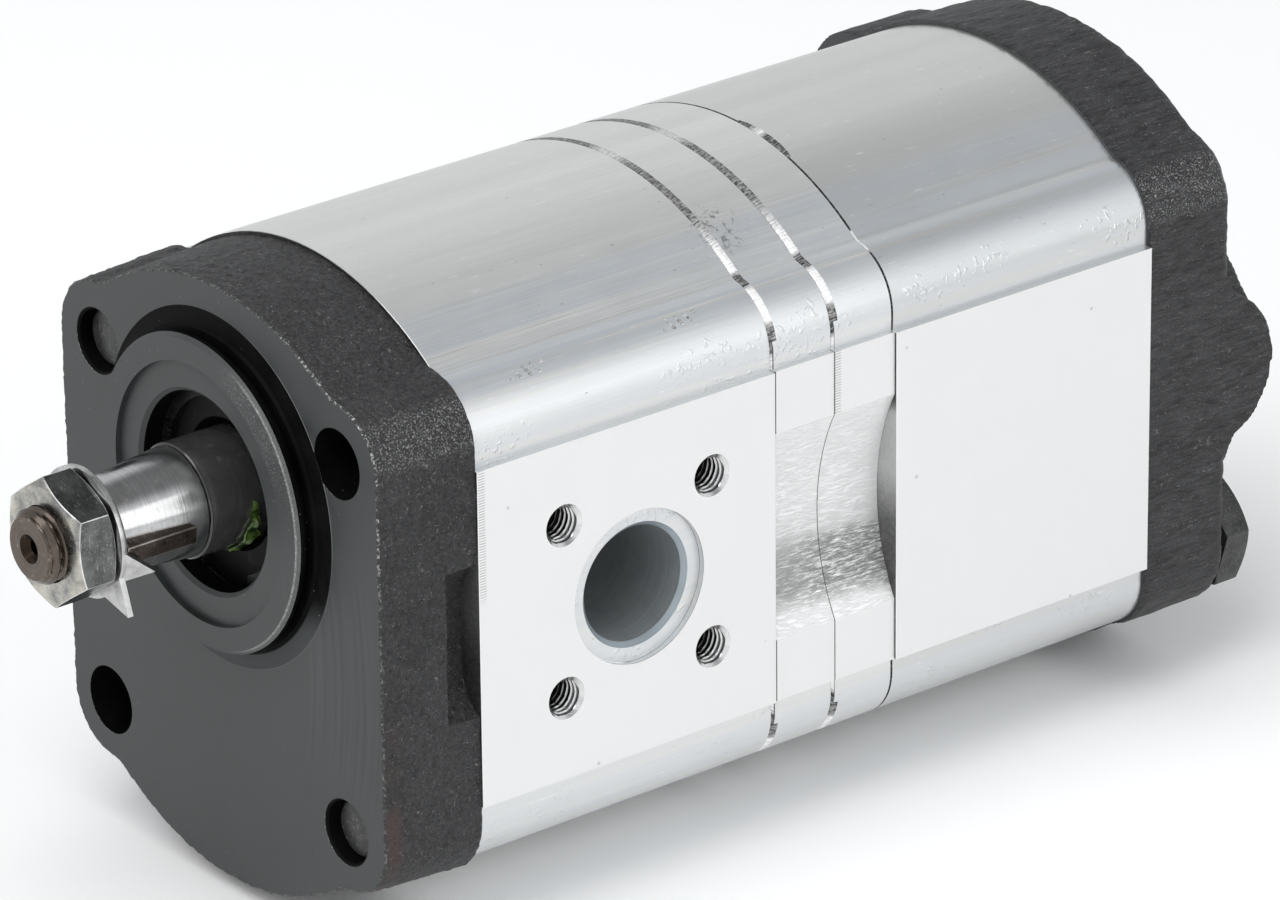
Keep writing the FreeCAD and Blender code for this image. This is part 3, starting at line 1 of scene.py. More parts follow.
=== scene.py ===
"""Studio scene of a tandem gear pump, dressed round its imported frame.

Shapes are worked out in millimetres in the frame's own axes and become metres when a mesh is
made: +X is the suction side, -Y the way the shaft points, +Z up, and the origin is where the
shaft axis meets the mounting face.
"""
import json
import logging
import math
from collections.abc import Callable, Iterator, Sequence
from contextlib import contextmanager
from dataclasses import dataclass, field
from enum import Enum, IntEnum

import bmesh
import bpy
import numpy as np
from mathutils import Matrix, Vector


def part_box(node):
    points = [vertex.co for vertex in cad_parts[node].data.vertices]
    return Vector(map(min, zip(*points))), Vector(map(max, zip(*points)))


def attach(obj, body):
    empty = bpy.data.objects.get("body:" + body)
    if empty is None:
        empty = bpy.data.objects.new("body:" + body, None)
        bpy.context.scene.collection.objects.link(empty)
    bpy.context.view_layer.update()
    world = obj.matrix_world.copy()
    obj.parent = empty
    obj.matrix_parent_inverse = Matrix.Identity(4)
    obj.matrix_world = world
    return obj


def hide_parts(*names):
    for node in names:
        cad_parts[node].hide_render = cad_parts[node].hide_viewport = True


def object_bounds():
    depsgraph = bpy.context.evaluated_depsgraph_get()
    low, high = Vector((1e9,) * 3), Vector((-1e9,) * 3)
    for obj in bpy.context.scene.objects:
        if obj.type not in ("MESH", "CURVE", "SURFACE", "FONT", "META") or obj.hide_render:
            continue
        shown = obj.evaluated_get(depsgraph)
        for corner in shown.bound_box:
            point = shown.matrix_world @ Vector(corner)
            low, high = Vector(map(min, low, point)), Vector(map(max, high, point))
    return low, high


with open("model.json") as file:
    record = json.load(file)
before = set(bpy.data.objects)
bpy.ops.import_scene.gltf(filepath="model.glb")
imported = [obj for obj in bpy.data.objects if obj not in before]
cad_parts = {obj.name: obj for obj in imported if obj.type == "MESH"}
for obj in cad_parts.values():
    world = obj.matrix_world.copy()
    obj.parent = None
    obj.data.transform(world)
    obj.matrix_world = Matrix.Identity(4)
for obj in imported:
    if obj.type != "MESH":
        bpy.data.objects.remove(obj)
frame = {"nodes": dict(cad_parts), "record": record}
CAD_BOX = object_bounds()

LOG = logging.getLogger("pump")
MILLIMETRE = 0.001
SHAFT_SPACING = 32.0
MIDDLE_UP = -SHAFT_SPACING / 2
BOLT_OFFSET = 30.0
PORT_FACE = 40.9
SUCTION_SQUARE = 28.28
PRESSURE_SQUARE = 24.75
SUCTION_OFFSET = 30.2
REAR_PORT_OFFSET = 26.0
BEARING_FROM = 30.0
BEARING_SPAN = 60.0
Pair = tuple[float, float]
Triple = tuple[float, float, float]
Piece = bpy.types.Object
Colour = Triple
EdgeTest = Callable[[Vector, Vector], bool]


def grey(level: float) -> Colour:
    """Colour with three equal parts."""
    return (level,) * 3


class Joining(Enum):
    """How one solid is worked into another."""

    CUT = "DIFFERENCE"
    KEEP_COMMON = "INTERSECT"


class CoverFace(IntEnum):
    """Material slots of a cover."""

    CAST = 0
    FACED = 1
    BORED = 2
    WORN_AND_LIT = 3


class BodyFace(IntEnum):
    """Material slots of a section body."""

    SKIN = 0
    MILLED = 1
    BORED = 2
    FRONT_EDGE = 3
    FRONT_END = 4
    PORT_RING = 5
    THREAD = 6
    MARK = 7
    PORT_EDGE = 8
    REAR_EDGE = 9
    SHADED_DEEP_HOLE = 10


class PlateFace(IntEnum):
    """Material slots of an intermediate plate."""

    SKIN = 0
    SAWN = 1
    MILLED = 2
    SCOOPED = 3
    EDGE = 4


class ShaftFace(IntEnum):
    """Material slots of the drive shaft."""

    GROUND = 0
    THREAD = 1
    GEAR = 2
    CENTRE = 3


class FastenerFace(IntEnum):
    """Material slots of a nut, a screw or another small part."""

    FLAT = 0
    EDGE = 1
    END = 2


# Shader expressions


class Wire:
    """An output socket that can stand in a Python sum."""

    def __init__(self, tree: bpy.types.NodeTree, socket: bpy.types.NodeSocket) -> None:
        """Keeps the tree and the socket."""
        self.tree = tree
        self.socket = socket

    def _reckon(self, operation: str, *values: "Wire | float", clamped: bool = False) -> "Wire":
        """Adds one Math node.

        Args:
            operation: The Math node's operation.
            values: Wires or numbers for its inputs, in order.
            clamped: Whether the result is held between 0 and 1.

        Returns:
            The node's output.
        """
        node = self.tree.nodes.new("ShaderNodeMath")
        node.operation = operation
        node.use_clamp = clamped
        for place, value in zip(node.inputs, values):
            feed(place, value)
        return Wire(self.tree, node.outputs[0])

    def __add__(self, other: "Wire | float") -> "Wire":
        """Sum."""
        return self._reckon("ADD", self, other)

    def __radd__(self, other: float) -> "Wire":
        """Sum with a number on the left."""
        return self._reckon("ADD", other, self)

    def __sub__(self, other: "Wire | float") -> "Wire":
        """Difference."""
        return self._reckon("SUBTRACT", self, other)

    def __rsub__(self, other: float) -> "Wire":
        """Difference from a number on the left."""
        return self._reckon("SUBTRACT", other, self)

    def __mul__(self, other: "Wire | float") -> "Wire":
        """Product."""
        return self._reckon("MULTIPLY", self, other)

    def __rmul__(self, other: float) -> "Wire":
        """Product with a number on the left."""
        return self._reckon("MULTIPLY", other, self)

    def __truediv__(self, other: "Wire | float") -> "Wire":
        """Quotient."""
        return self._reckon("DIVIDE", self, other)

    def size(self) -> "Wire":
        """Distance from zero."""
        return self._reckon("ABSOLUTE", self)

    def root(self) -> "Wire":
        """Square root."""
        return self._reckon("SQRT", self)

    def apart(self, other: "Wire") -> "Wire":
        """Length of the long side of a right triangle whose short sides are these two."""
        return (self * self + other * other).root()

    def sine(self) -> "Wire":
        """Sine of an angle in radians."""
        return self._reckon("SINE", self)

    def sign(self) -> "Wire":
        """-1, 0 or 1."""
        return self._reckon("SIGN", self)

    def bearing(self, across: "Wire") -> "Wire":
        """Angle in degrees of a point that is this far up and that far across."""
        return self._reckon("ARCTAN2", self, across) * math.degrees(1.0)

    def held(self) -> "Wire":
        """The value held between 0 and 1."""
        return self._reckon("ADD", self, 0.0, clamped=True)

    def band(self, low: float, high: float, soft: float) -> "Wire":
        """1 between low and high, falling to 0 over the soft distance outside them."""
        return self.rises(low - soft, low) * self.rises(high + soft, high)

    def rises(self, low: float, high: float) -> "Wire":
        """0 below low, 1 above high and a smooth rise between them; high may be the lower one."""
        share = self._reckon("DIVIDE", self - low, high - low, clamped=True)
        return share * share * (3.0 - 2.0 * share)


def feed(place: bpy.types.NodeSocket, value: "Wire | float | Sequence[float]") -> None:
    """Links a wire to an input, or sets the input.

    Args:
        place: The input.
        value: Wire, number or numbers; three make an opaque colour where it takes one.
    """
    if isinstance(value, Wire):
        value.tree.links.new(value.socket, place)
    elif place.type == "RGBA" and len(value) == 3:
        place.default_value = (*value, 1.0)
    else:
        place.default_value = value


class Board:
    """A node tree and the way to lay nodes in it."""

    def __init__(self, tree: bpy.types.NodeTree) -> None:
        """Keeps the tree."""
        self.tree = tree

    def add(
        self,
        kind: str,
        settings: dict[str, object] | None = None,
        values: dict[str | int, object] | None = None,
        output: str | int = 0,
    ) -> Wire:
        """Adds any node.

        Args:
            kind: The node's type.
            settings: Its properties, set first; "stops" holds a ramp's (place, colour) pairs.
            values: Numbers, vectors, colours or wires for its inputs, by name or number.
            output: Which output to hand back.

        Returns:
            That output.
        """
        node = self.tree.nodes.new(kind)
        for name, setting in (settings or {}).items():
            if name == "stops":
                ramp = node.color_ramp.elements
                ramp.remove(ramp[-1])
                ramp[0].position = setting[0][0]
                for where, _ in setting[1:]:
                    ramp.new(where)
                for stop, (_, colour) in zip(ramp, setting):
                    stop.color = (*colour, 1.0)
            else:
                setattr(node, name, setting)
        for place, value in (values or {}).items():
            feed(node.inputs[place], value)
        return Wire(self.tree, node.outputs[output])

    def parts(self, vector: Wire) -> tuple[Wire, Wire, Wire]:
        """The three components of a vector.

        Args:
            vector: The vector.

        Returns:
            Across, along and up.
        """
        split = self.add("ShaderNodeSeparateXYZ", None, {0: vector})
        node = split.socket.node
        return tuple(Wire(self.tree, output) for output in node.outputs)


class Recipe(Board):
    """The node tree of one material, with its surface shader."""

    def __init__(self, name: str) -> None:
        """Makes an empty material.

        Args:
            name: Name of the material.
        """
        self.material = bpy.data.materials.new(name)
        self.material.use_nodes = True
        super().__init__(self.material.node_tree)
        self.tree.nodes.clear()
        self.shader = self.tree.nodes.new("ShaderNodeBsdfPrincipled")
        output = self.tree.nodes.new("ShaderNodeOutputMaterial")
        self.tree.links.new(self.shader.outputs[0], output.inputs[0])

    def set(self, **values: "Wire | float | Colour") -> None:
        """Sets or links inputs of the surface shader.

        Args:
            values: Values by input name, with underscores for the blanks.
        """
        for name, value in values.items():
            feed(self.shader.inputs[name.replace("_", " ")], value)

    def millimetres(self) -> Wire:
        """Object coordinates in millimetres."""
        place = self.add("ShaderNodeTexCoord", output="Object")
        return self.scaled(place, (1 / MILLIMETRE,) * 3)

    def scaled(self, vector: Wire, factors: Triple) -> Wire:
        """A vector with each component multiplied."""
        return self.add("ShaderNodeVectorMath", {"operation": "MULTIPLY"}, {0: vector, 1: factors})

    def joined(self, across: "Wire | float", along: "Wire | float", up: "Wire | float") -> Wire:
        """A vector made of three components."""
        return self.add("ShaderNodeCombineXYZ", None, {0: across, 1: along, 2: up})

    def noise(self, vector: Wire, grain: float, detail: float = 3.0, rough: float = 0.55) -> Wire:
        """Soft random field from 0 to 1.

        Args:
            vector: Place in millimetres.
            grain: Size of its blobs in millimetres.
            detail: How many finer layers it has.
            rough: Strength of the finer layers.

        Returns:
            The field.
        """
        return self.add(
            "ShaderNodeTexNoise",
            None,
            {"Vector": vector, "Scale": 1 / grain, "Detail": detail, "Roughness": rough},
        )

    def cells(self, vector: Wire, grain: float, feature: str = "F1") -> Wire:
        """Distance field of random cells of a size in millimetres."""
        return self.add(
            "ShaderNodeTexVoronoi",
            {"feature": feature},
            {"Vector": vector, "Scale": 1 / grain},
            "Distance",
        )

    def ramp(self, share: Wire, *stops: Pair) -> Wire:
        """Grey level that follows stops.

        Args:
            share: Place between 0 and 1.
            stops: Pairs of place and level, the places rising.

        Returns:
            The level.
        """
        levels = [(where, grey(level)) for where, level in stops]
        colour = self.add("ShaderNodeValToRGB", {"stops": levels}, {0: share})
        return self.parts(colour)[0]

    def quarter_bearing(self, place: Wire) -> Wire:
        """Angle of a place about the section's middle line: 0 at either side, 90 at top or foot."""
        across, _, up = self.parts(place)
        return (up - MIDDLE_UP).size().bearing(across.size())

    def from_bolt(self, place: Wire) -> tuple[Wire, Wire]:
        """How far a place is across and up from the nearest of the four bolt axes.

        Args:
            place: Place in millimetres.

        Returns:
            The two distances, with their signs.
        """
        across, _, up = self.parts(place)
        raised = up - MIDDLE_UP
        return across - across.sign() * BOLT_OFFSET, raised - raised.sign() * BOLT_OFFSET

    def near(self, place: Wire, spot: Triple, radius: float) -> Wire:
        """1 at a spot, falling to 0 at a radius from it, both in millimetres."""
        gap = self.add(
            "ShaderNodeVectorMath", {"operation": "DISTANCE"}, {0: place, 1: spot}, "Value"
        )
        return gap.rises(radius, 0.3 * radius)

    def blend(self, share: "Wire | float", low: "Wire | Colour", high: "Wire | Colour") -> Wire:
        """Colour that goes from low to high with the share."""
        return self.add("ShaderNodeMix", {"data_type": "RGBA"}, {0: share, 6: low, 7: high}, 2)

    def relief(self, height: Wire, depth: float, under: Wire | None = None) -> Wire:
        """Bump from a height field.

        Args:
            height: Field from 0 to 1.
            depth: What 1 stands for, in millimetres.
            under: Normal that the relief is laid on.

        Returns:
            The bent normal.
        """
        values = {"Strength": 1.0, "Distance": depth * MILLIMETRE, "Height": height}
        if under is not None:
            values["Normal"] = under
        return self.add("ShaderNodeBump", None, values)


# Finishes


@dataclass(frozen=True)
class Finish:
    """What every finish has: a name and the record's material slot."""

    name: str
    slot: str

    def dress(self, recipe: Recipe) -> None:
        """Fills the recipe in; each kind of finish has its own way.

        Args:
            recipe: The material to fill in.
        """
        raise NotImplementedError

    def material(self) -> bpy.types.Material:
        """The finished material, made once and then shared.

        Returns:
            The material.
        """
        known = bpy.data.materials.get(self.name)
        if known is not None:
            return known
        recipe = Recipe(self.name)
        self.dress(recipe)
        return recipe.material


@dataclass(frozen=True)
class CastFinish(Finish):
    """Sand casting with a dark coat: wrinkled skin, pale curled threads and painted glints,
    thickest on the upper lobes as a painted highlight.
    """

    dark: Colour = (0.008, 0.008, 0.009)
    light: Colour = (0.06, 0.06, 0.062)
    rust: Colour = (0.06, 0.036, 0.03)
    grain: float = 0.8
    depth: float = 0.6
    pull: float = 1.0
    threads: float = 0.5

    def dress(self, recipe: Recipe) -> None:
        """Wrinkles are cells bent by noise and pulled along the shaft; threads are thin ridges;
        painted glints are pale specks in the base colour.

        Args:
            recipe: The material to fill in.
        """
        place = recipe.millimetres()
        across, along, up = recipe.parts(place)
        pulled = recipe.scaled(place, (1.0, 1 / self.pull, 1.0))
        bend = recipe.add(
            "ShaderNodeTexNoise",
            None,
            {"Vector": pulled, "Scale": 1 / (2.4 * self.grain), "Detail": 2.0},
            "Color",
        )
        bent = recipe.add("ShaderNodeVectorMath", {"operation": "ADD"}, {0: pulled, 1: bend})
        wrinkle = recipe.noise(bent, self.grain, 4.0, 0.62)
        pebble = recipe.cells(bent, self.grain * 0.55, "SMOOTH_F1")
        fine = recipe.noise(pulled, self.grain * 0.22, 2.0)
        skin = wrinkle * 0.55 + (1.0 - pebble) * 0.25 + fine * 0.35
        cloud = recipe.noise(pulled, 9.0, 3.0)
        shade = (skin * 2.3 - 1.0 + (cloud - 0.5) * 0.6).held()
        base = recipe.blend(shade, self.dark, self.light)
        low_edge = along.band(0.3, 2.2, 1.4) * up.rises(-16.0, -34.0)
        base = recipe.blend(low_edge * cloud.rises(0.3, 0.6) * 0.7, base, self.rust)
        ridge = (recipe.noise(pulled, 1.5, 1.0) - 0.5).size().rises(0.014, 0.004)
        thread = ridge * recipe.noise(place, 1.1, 2.0).rises(0.56, 0.62) * self.threads
        # Painted highlight: the upper part of each upper lobe gets extra pale glints in the base
        # colour and a lower roughness.
        outward = across.size() - BOLT_OFFSET
        lobe = (up - MIDDLE_UP - BOLT_OFFSET).bearing(outward).band(14.0, 44.0, 16.0)
        lobe = lobe * outward.rises(1.0, 4.0) * along.rises(-4.0, 3.0)
        # Painted glints: pale specks of noise in the base colour stand in for sparkle.
        spark = recipe.noise(place, 0.3, 1.0)
        painted_glint = spark.rises(0.66, 0.74) * 0.35 + spark.rises(0.5, 0.7) * lobe * 0.55
        bright = (thread + painted_glint).held()
        recipe.set(
            Base_Color=recipe.blend(bright, base, grey(0.3)),
            Roughness=0.5 + (cloud - 0.5) * 0.2 - painted_glint * 0.2 - lobe * 0.12,
            Specular_IOR_Level=0.32,
            Normal=recipe.relief(skin, self.depth),
        )


@dataclass(frozen=True)
class FacedIronFinish(Finish):
    """Machined iron under the dark coat: satin, with faint tool marks, white specks, a painted
    highlight on the spigot's lip and foot and painted light on its cone.
    """

    dark: Colour = (0.024, 0.028, 0.028)
    light: Colour = (0.046, 0.049, 0.05)
    # lip sets the strength of the painted highlight on the spigot's lip and foot; foot sets the
    # painted light on the cone's lower part.
    lip: float = 1.0
    foot: float = 0.0
    gloss: float = 0.42

    def dress(self, recipe: Recipe) -> None:
        """Smudges drift across the face and wide arcs stand for the cutter; the lip's right side
        and inner face carry a speckled painted highlight, the foot a painted highlight brighter
        toward the top, and the cone's lower part painted light.

        Args:
            recipe: The material to fill in.
        """
        place = recipe.millimetres()
        across, along, up = recipe.parts(place)
        smudge = recipe.noise(place, 8.0, 5.0, 0.62)
        far = (across + 70.0).apart(up + 20.0)
        arcs = recipe.noise(recipe.joined(far, 0.0, up * 0.02), 0.8, 2.0)
        marked = across.band(24.0, 36.0, 5.0) * up.band(-34.0, -8.0, 8.0)
        reach = across.apart(up)
        patch = recipe.noise(place, 14.0).rises(0.5, 0.62)
        speck = recipe.cells(place, 1.9).rises(0.055, 0.03) * patch
        fine = recipe.noise(place, 0.3, 3.0, 0.7)
        # Painted highlight: a speckled bright line on the lip and its inner face, on the right side
        # only.
        edge = reach.band(24.35, 24.55, 0.08) * 0.34 + reach.band(24.4, 25.1, 0.1) * 0.16
        lip = edge * along.rises(-2.8, -3.1) * across.rises(4.0, 15.0) * up.band(-20.0, 18.0, 8.0)
        lip = lip * (0.5 + fine.rises(0.4, 0.65) * 0.8)
        inner = reach.band(20.9, 24.2, 0.3) * up.rises(2.0, 12.0) * across.rises(4.0, 12.0)
        lip = lip + inner * along.rises(-2.8, -3.1) * fine.rises(0.52, 0.62) * 0.25
        # Painted highlight on the foot's edge, brighter toward the top.
        foot = reach.band(28.1, 28.35, 0.08) * along.rises(-0.4, -0.1) * across.rises(4.0, 20.0)
        foot = foot * (0.3 + up.rises(-8.0, 6.0) * 1.1)
        shade = (smudge * 2.2 - 0.6 + (arcs - 0.5) * (0.2 + marked * 2.2)).held()
        # Painted light: the lower part of the cone is lighter.
        cone = reach.band(25.9, 28.4, 0.3) * up.rises(-9.0, -17.0) * self.foot
        base = recipe.blend(shade, self.dark, self.light)
        base = recipe.blend(cone, base, (0.06, 0.064, 0.065))
        pores = recipe.noise(place, 0.22, 2.0)
        bright = (speck * 0.6 + (lip + foot * 0.2) * self.lip).held()
        recipe.set(
            Base_Color=recipe.blend(bright, base, (0.42, 0.42, 0.41)),
            Roughness=0.22 + smudge * 0.5,
            Specular_IOR_Level=self.gloss,
            Normal=recipe.relief(arcs * 0.4 + pores * 0.6, 0.012),
        )


@dataclass(frozen=True)
class WornAndLitIronFinish(Finish):
    """Iron edges where the coat is chipped: dark, with pale exposed grains, scaled by painted
    light.
    """

    bare_and_lit: Colour = (0.5, 0.5, 0.49)
    share: float = 0.6

    def dress(self, recipe: Recipe) -> None:
        """Grains are noise, stronger toward the upper right as painted light; near a bolt hole a
        painted highlight shows them only on its lower left wall.

        Args:
            recipe: The material to fill in.
        """
        place = recipe.millimetres()
        across, _, up = recipe.parts(place)
        grains = recipe.noise(place, 0.45, 3.0, 0.65).rises(0.62 - self.share * 0.25, 0.7)
        away, raised = recipe.from_bolt(place)
        hole = away.apart(raised).rises(7.0, 6.5)
        # Painted highlight: only the lower left wall of a bolt hole's mouth shows the pale grains.
        facing = (away * -0.8 - raised * 0.6).rises(2.6, 4.6)
        # Painted light: the grains fade away from the upper right.
        lit = 0.35 + 0.65 * across.rises(10.0, 26.0) * up.rises(-6.0, 8.0)
        bare_and_lit = grains * (lit * (1.0 - hole) + hole * facing)
        recipe.set(
            Base_Color=recipe.blend(bare_and_lit, grey(0.02), self.bare_and_lit),
            Metallic=bare_and_lit * 0.8,
            Roughness=0.42,
            Specular_IOR_Level=0.4,
            Normal=recipe.relief(grains, 0.06),
        )


@dataclass(frozen=True)
class DrawnFinish(Finish):
    """Extruded aluminium: fine die lines along the shaft, a streaked band and a peened lobe."""

    dark: Colour = (0.62, 0.62, 0.61)
    light: Colour = (0.78, 0.78, 0.77)
    cool: Colour = (0.61, 0.65, 0.69)
    roughness: float = 0.36
    streaks: float = 1.0
    lines: float = 0.03
    smear: Triple = (23.5, 77.6, 28.5)

    def dress(self, recipe: Recipe) -> None:
        """The lines are noise that hardly changes along the shaft, strongest low on the crown.

        Args:
            recipe: The material to fill in.
        """
        place = recipe.millimetres()
        drawn = recipe.scaled(place, (1.0, 0.012, 1.0))
        bearing = recipe.quarter_bearing(place)
        streaked = bearing.band(50.0, 61.0, 6.0)
        outward = recipe.parts(place)[0].size() - BOLT_OFFSET
        lobe = outward.rises(1.0, 4.0)
        band = recipe.noise(drawn, 4.0, 3.0, 0.6)
        line = recipe.noise(drawn, 0.3, 3.0, 0.7)
        haze = recipe.noise(place, 7.0, 3.0)
        lined = (0.8 + streaked * 3.2) * self.streaks
        shade = (0.5 + (band - 0.5) * 0.9 + (line - 0.5) * lined).held()
        base = recipe.blend(shade, self.dark, self.light)
        cooled = (streaked * 0.7 + lobe * 0.5) * recipe.noise(drawn, 2.2, 2.0).rises(0.3, 0.6)
        base = recipe.blend(cooled.held(), base, self.cool)
        scratch = recipe.noise(recipe.scaled(place, (0.6, 0.07, 0.6)), 0.3, 2.0).rises(0.68, 0.75)
        tick = recipe.noise(recipe.scaled(place, (1.0, 0.3, 1.0)), 0.5, 2.0).rises(0.73, 0.78)
        blotch = recipe.noise(place, 1.0, 4.0, 0.75).rises(0.52, 0.62)
        smear = recipe.near(place, self.smear, 6.5) * blotch
        marked = (tick * 0.6 + smear * 0.75).held()
        base = recipe.blend(scratch * 0.4, base, (0.9, 0.9, 0.91))
        grouped = recipe.noise(recipe.scaled(place, (1.0, 0.4, 1.0)), 6.0, 1.0).rises(0.54, 0.62)
        dents = recipe.noise(place, 0.9, 1.0).rises(0.55, 0.7) * grouped
        peened = dents * outward.rises(6.6, 8.8)
        recipe.set(
            Base_Color=recipe.blend(marked, base, (0.2, 0.19, 0.19)),
            Metallic=0.82 - scratch * 0.1,
            Roughness=self.roughness + (haze - 0.5) * 0.1 + line * 0.06,
            Normal=recipe.relief(peened, 0.07, recipe.relief(line * 0.7 + band * 0.3, self.lines)),
        )


@dataclass(frozen=True)
class MilledFinish(Finish):
    """Milled aluminium: bright satin with close cutter lines."""

    colour: Colour = grey(0.78)
    lay: Triple = (1.0, 1.0, 0.03)
    metal: float = 0.6
    roughness: float = 0.42
    line: float = 0.3
    edge: float = 17.4

    def dress(self, recipe: Recipe) -> None:
        """Lines are noise stretched along the tool's way; short ticks stand at the front edge.

        Args:
            recipe: The material to fill in.
        """
        place = recipe.millimetres()
        _, along, up = recipe.parts(place)
        lines = recipe.noise(recipe.scaled(place, self.lay), self.line, 2.0, 0.6)
        haze = recipe.noise(place, 12.0, 3.0)
        base = recipe.blend(
            (haze * 0.7 + lines * 0.3).held(),
            tuple(part * 0.95 for part in self.colour),
            self.colour,
        )
        even = (up * 14.5).sine()
        broken = recipe.noise(recipe.joined(along * 0.4, 0.0, up), 0.5, 2.0)
        ticks = (even * 0.5 + broken).rises(0.5, 0.75)
        ticks = ticks * along.band(self.edge, self.edge + 1.1, 0.5) * up.band(-8.0, 12.0, 3.0)
        speck = recipe.cells(place, 9.0).rises(0.045, 0.03)
        marked = (ticks * 0.6 + speck * 0.4).held()
        recipe.set(
            Base_Color=recipe.blend(marked, base, grey(0.3)),
            Metallic=self.metal,
            Roughness=self.roughness + (haze - 0.5) * 0.1,
            Normal=recipe.relief(lines, 0.008),
        )


@dataclass(frozen=True)
class BoredFinish(Finish):
    """Turned aluminium of a port: cool grey with rings about the port's axis, going black deeper in
    as painted shade.
    """

    dark: Colour = (0.22, 0.24, 0.25)
    light: Colour = (0.46, 0.49, 0.50)
    along: float = 47.6
    metal: float = 0.75
    roughness: float = 0.32
    # The last two set the painted shade: the depths over which it sets in, and its strength at the
    # threads' roots.
    fade: Pair = (4.0, 60.0)
    root_shade: float = 0.0

    def dress(self, recipe: Recipe) -> None:
        """Rings follow the depth and the distance from the axis, broken up by clouds; painted shade
        blackens the colour with depth and at the threads' roots.

        Args:
            recipe: The material to fill in.
        """
        place = recipe.millimetres()
        across, along, up = recipe.parts(place)
        off = along - self.along
        raised = up - MIDDLE_UP
        reach = off.apart(raised)
        rings = recipe.noise(recipe.joined(across + reach, reach * 0.1, 0.0), 0.5, 3.0, 0.65)
        cloud = recipe.noise(place, 4.0, 3.0)
        share = (rings * 0.8 + cloud * 0.5 - 0.15).held()
        base = recipe.blend(share, self.dark, self.light)
        # Painted shade: the colour goes to black with depth below the port face, and at the
        # threads' roots near the mouth.
        near, far = self.fade
        depth = PORT_FACE - across.size()
        deep_shade = depth.rises(near, far)
        half = (SUCTION_SQUARE + PRESSURE_SQUARE) / 4
        half = half + across.sign() * ((SUCTION_SQUARE - PRESSURE_SQUARE) / 4)
        hole = (off.size() - half).apart(raised.size() - half)
        root = hole.rises(2.74, 2.92) * depth.rises(0.45, 0.8)
        deep_shade = (deep_shade + root * self.root_shade).held()
        recipe.set(
            Base_Color=recipe.blend(deep_shade, base, grey(0.004)),
            Metallic=self.metal,
            Roughness=self.roughness + (cloud - 0.5) * 0.15,
            Normal=recipe.relief(rings, 0.02),
        )


@dataclass(frozen=True)
class ScoopFinish(Finish):
    """Sawn hollow in a plate's side: painted light and shade that follow the height, pale at top
    and foot and darker across the lower middle, where a rough scratched band lies.
    """

    low: float = -30.5
    tall: float = 16.0
    plate_along: float = 80.0

    def dress(self, recipe: Recipe) -> None:
        """The level follows the height as painted light and shade; pale scratches lean across the
        rough band.

        Args:
            recipe: The material to fill in.
        """
        place = recipe.millimetres()
        across, along, up = recipe.parts(place)
        wander = recipe.noise(place, 3.0, 3.0) - 0.5
        leaning = up + wander * 2.5 + (along - self.plate_along) * 0.06
        height = (leaning - self.low) / self.tall
        # Painted light and shade by height across the hollow.
        level = recipe.ramp(
            height, (0.0, 0.86), (0.1, 0.7), (0.2, 0.4), (0.5, 0.42), (0.75, 0.72), (1.0, 0.86)
        )
        slant = recipe.joined(up + along * 0.04, along * 0.12, across * 0.3)
        scratch = recipe.noise(slant, 0.3, 4.0, 0.8).rises(0.42, 0.64)
        rough = height.band(0.12, 0.6, 0.16) * (0.55 + along.rises(79.0, 87.0) * 0.45)
        level = (level * (1.0 - rough * 0.5) + scratch * rough * 0.75).held()
        recipe.set(
            Base_Color=recipe.blend(level, grey(0.02), grey(1.0)),
            Metallic=0.3 + rough * 0.3,
            Roughness=0.45 - rough * 0.1,
            Normal=recipe.relief(scratch, 0.06),
        )


@dataclass(frozen=True)
class StripFinish(Finish):
    """Narrow cut strip round a section's edge: its level follows the bearing round the outline as
    painted light and shade, over ticks of its own.
    """

    stops: tuple[Pair, ...]
    grain: float = 0.3
    ticks: float = 0.7
    side: float = 0.8
    metal: float = 0.3
    gloss: float = 0.25

    def dress(self, recipe: Recipe) -> None:
        """The level follows the bearing as painted light and shade; ticks are noise across the
        strip; the flat sides have their own level.

        Args:
            recipe: The material to fill in.
        """
        place = recipe.millimetres()
        across, along, _ = recipe.parts(place)
        bearing = recipe.quarter_bearing(place)
        # Painted light and shade: the level changes with the bearing round the outline.
        stops = [((where - BEARING_FROM) / BEARING_SPAN, level) for where, level in self.stops]
        level = recipe.ramp((bearing - BEARING_FROM) / BEARING_SPAN, *stops)
        tick = recipe.noise(recipe.joined(bearing * 0.9, along * 0.1, 0.0), self.grain, 2.0, 0.7)
        rough = recipe.noise(place, 0.45, 3.0, 0.7)
        level = (level + (tick - 0.5) * self.ticks * 2.0 + (rough - 0.5) * self.ticks).held()
        beside = across.size().rises(39.62, 39.75)
        level = (level + beside * (self.side - level + (tick - 0.5) * self.ticks)).held()
        recipe.set(
            Base_Color=recipe.blend(level, grey(0.02), grey(0.95)),
            Metallic=self.metal * level,
            Roughness=0.45,
            Specular_IOR_Level=self.gloss,
            Normal=recipe.relief(tick, 0.05),
        )


@dataclass(frozen=True)
class EndFinish(Finish):
    """Milled end of a section, seen where the plate beside it is hollow: painted light and shade,
    pale above and dark below.
    """

    pale: float = 0.5
    low: float = -36.0
    tall: float = 40.0

    def dress(self, recipe: Recipe) -> None:
        """The level follows the height as painted light and shade.

        Args:
            recipe: The material to fill in.
        """
        place = recipe.millimetres()
        _, _, up = recipe.parts(place)
        # Painted light and shade by height.
        stops = ((0.0, 0.3), (0.1, 0.12), (0.4, 0.3), (0.6, 1.0), (0.84, 1.0), (0.9, 0.1))
        level = recipe.ramp((up - self.low) / self.tall, *stops) * self.pale
        grain = recipe.noise(place, 0.6, 3.0)
        recipe.set(
            Base_Color=recipe.blend((level + (grain - 0.5) * 0.2).held(), grey(0.02), grey(0.9)),
            Metallic=0.4,
            Roughness=0.4,
            Normal=recipe.relief(grain, 0.03),
        )


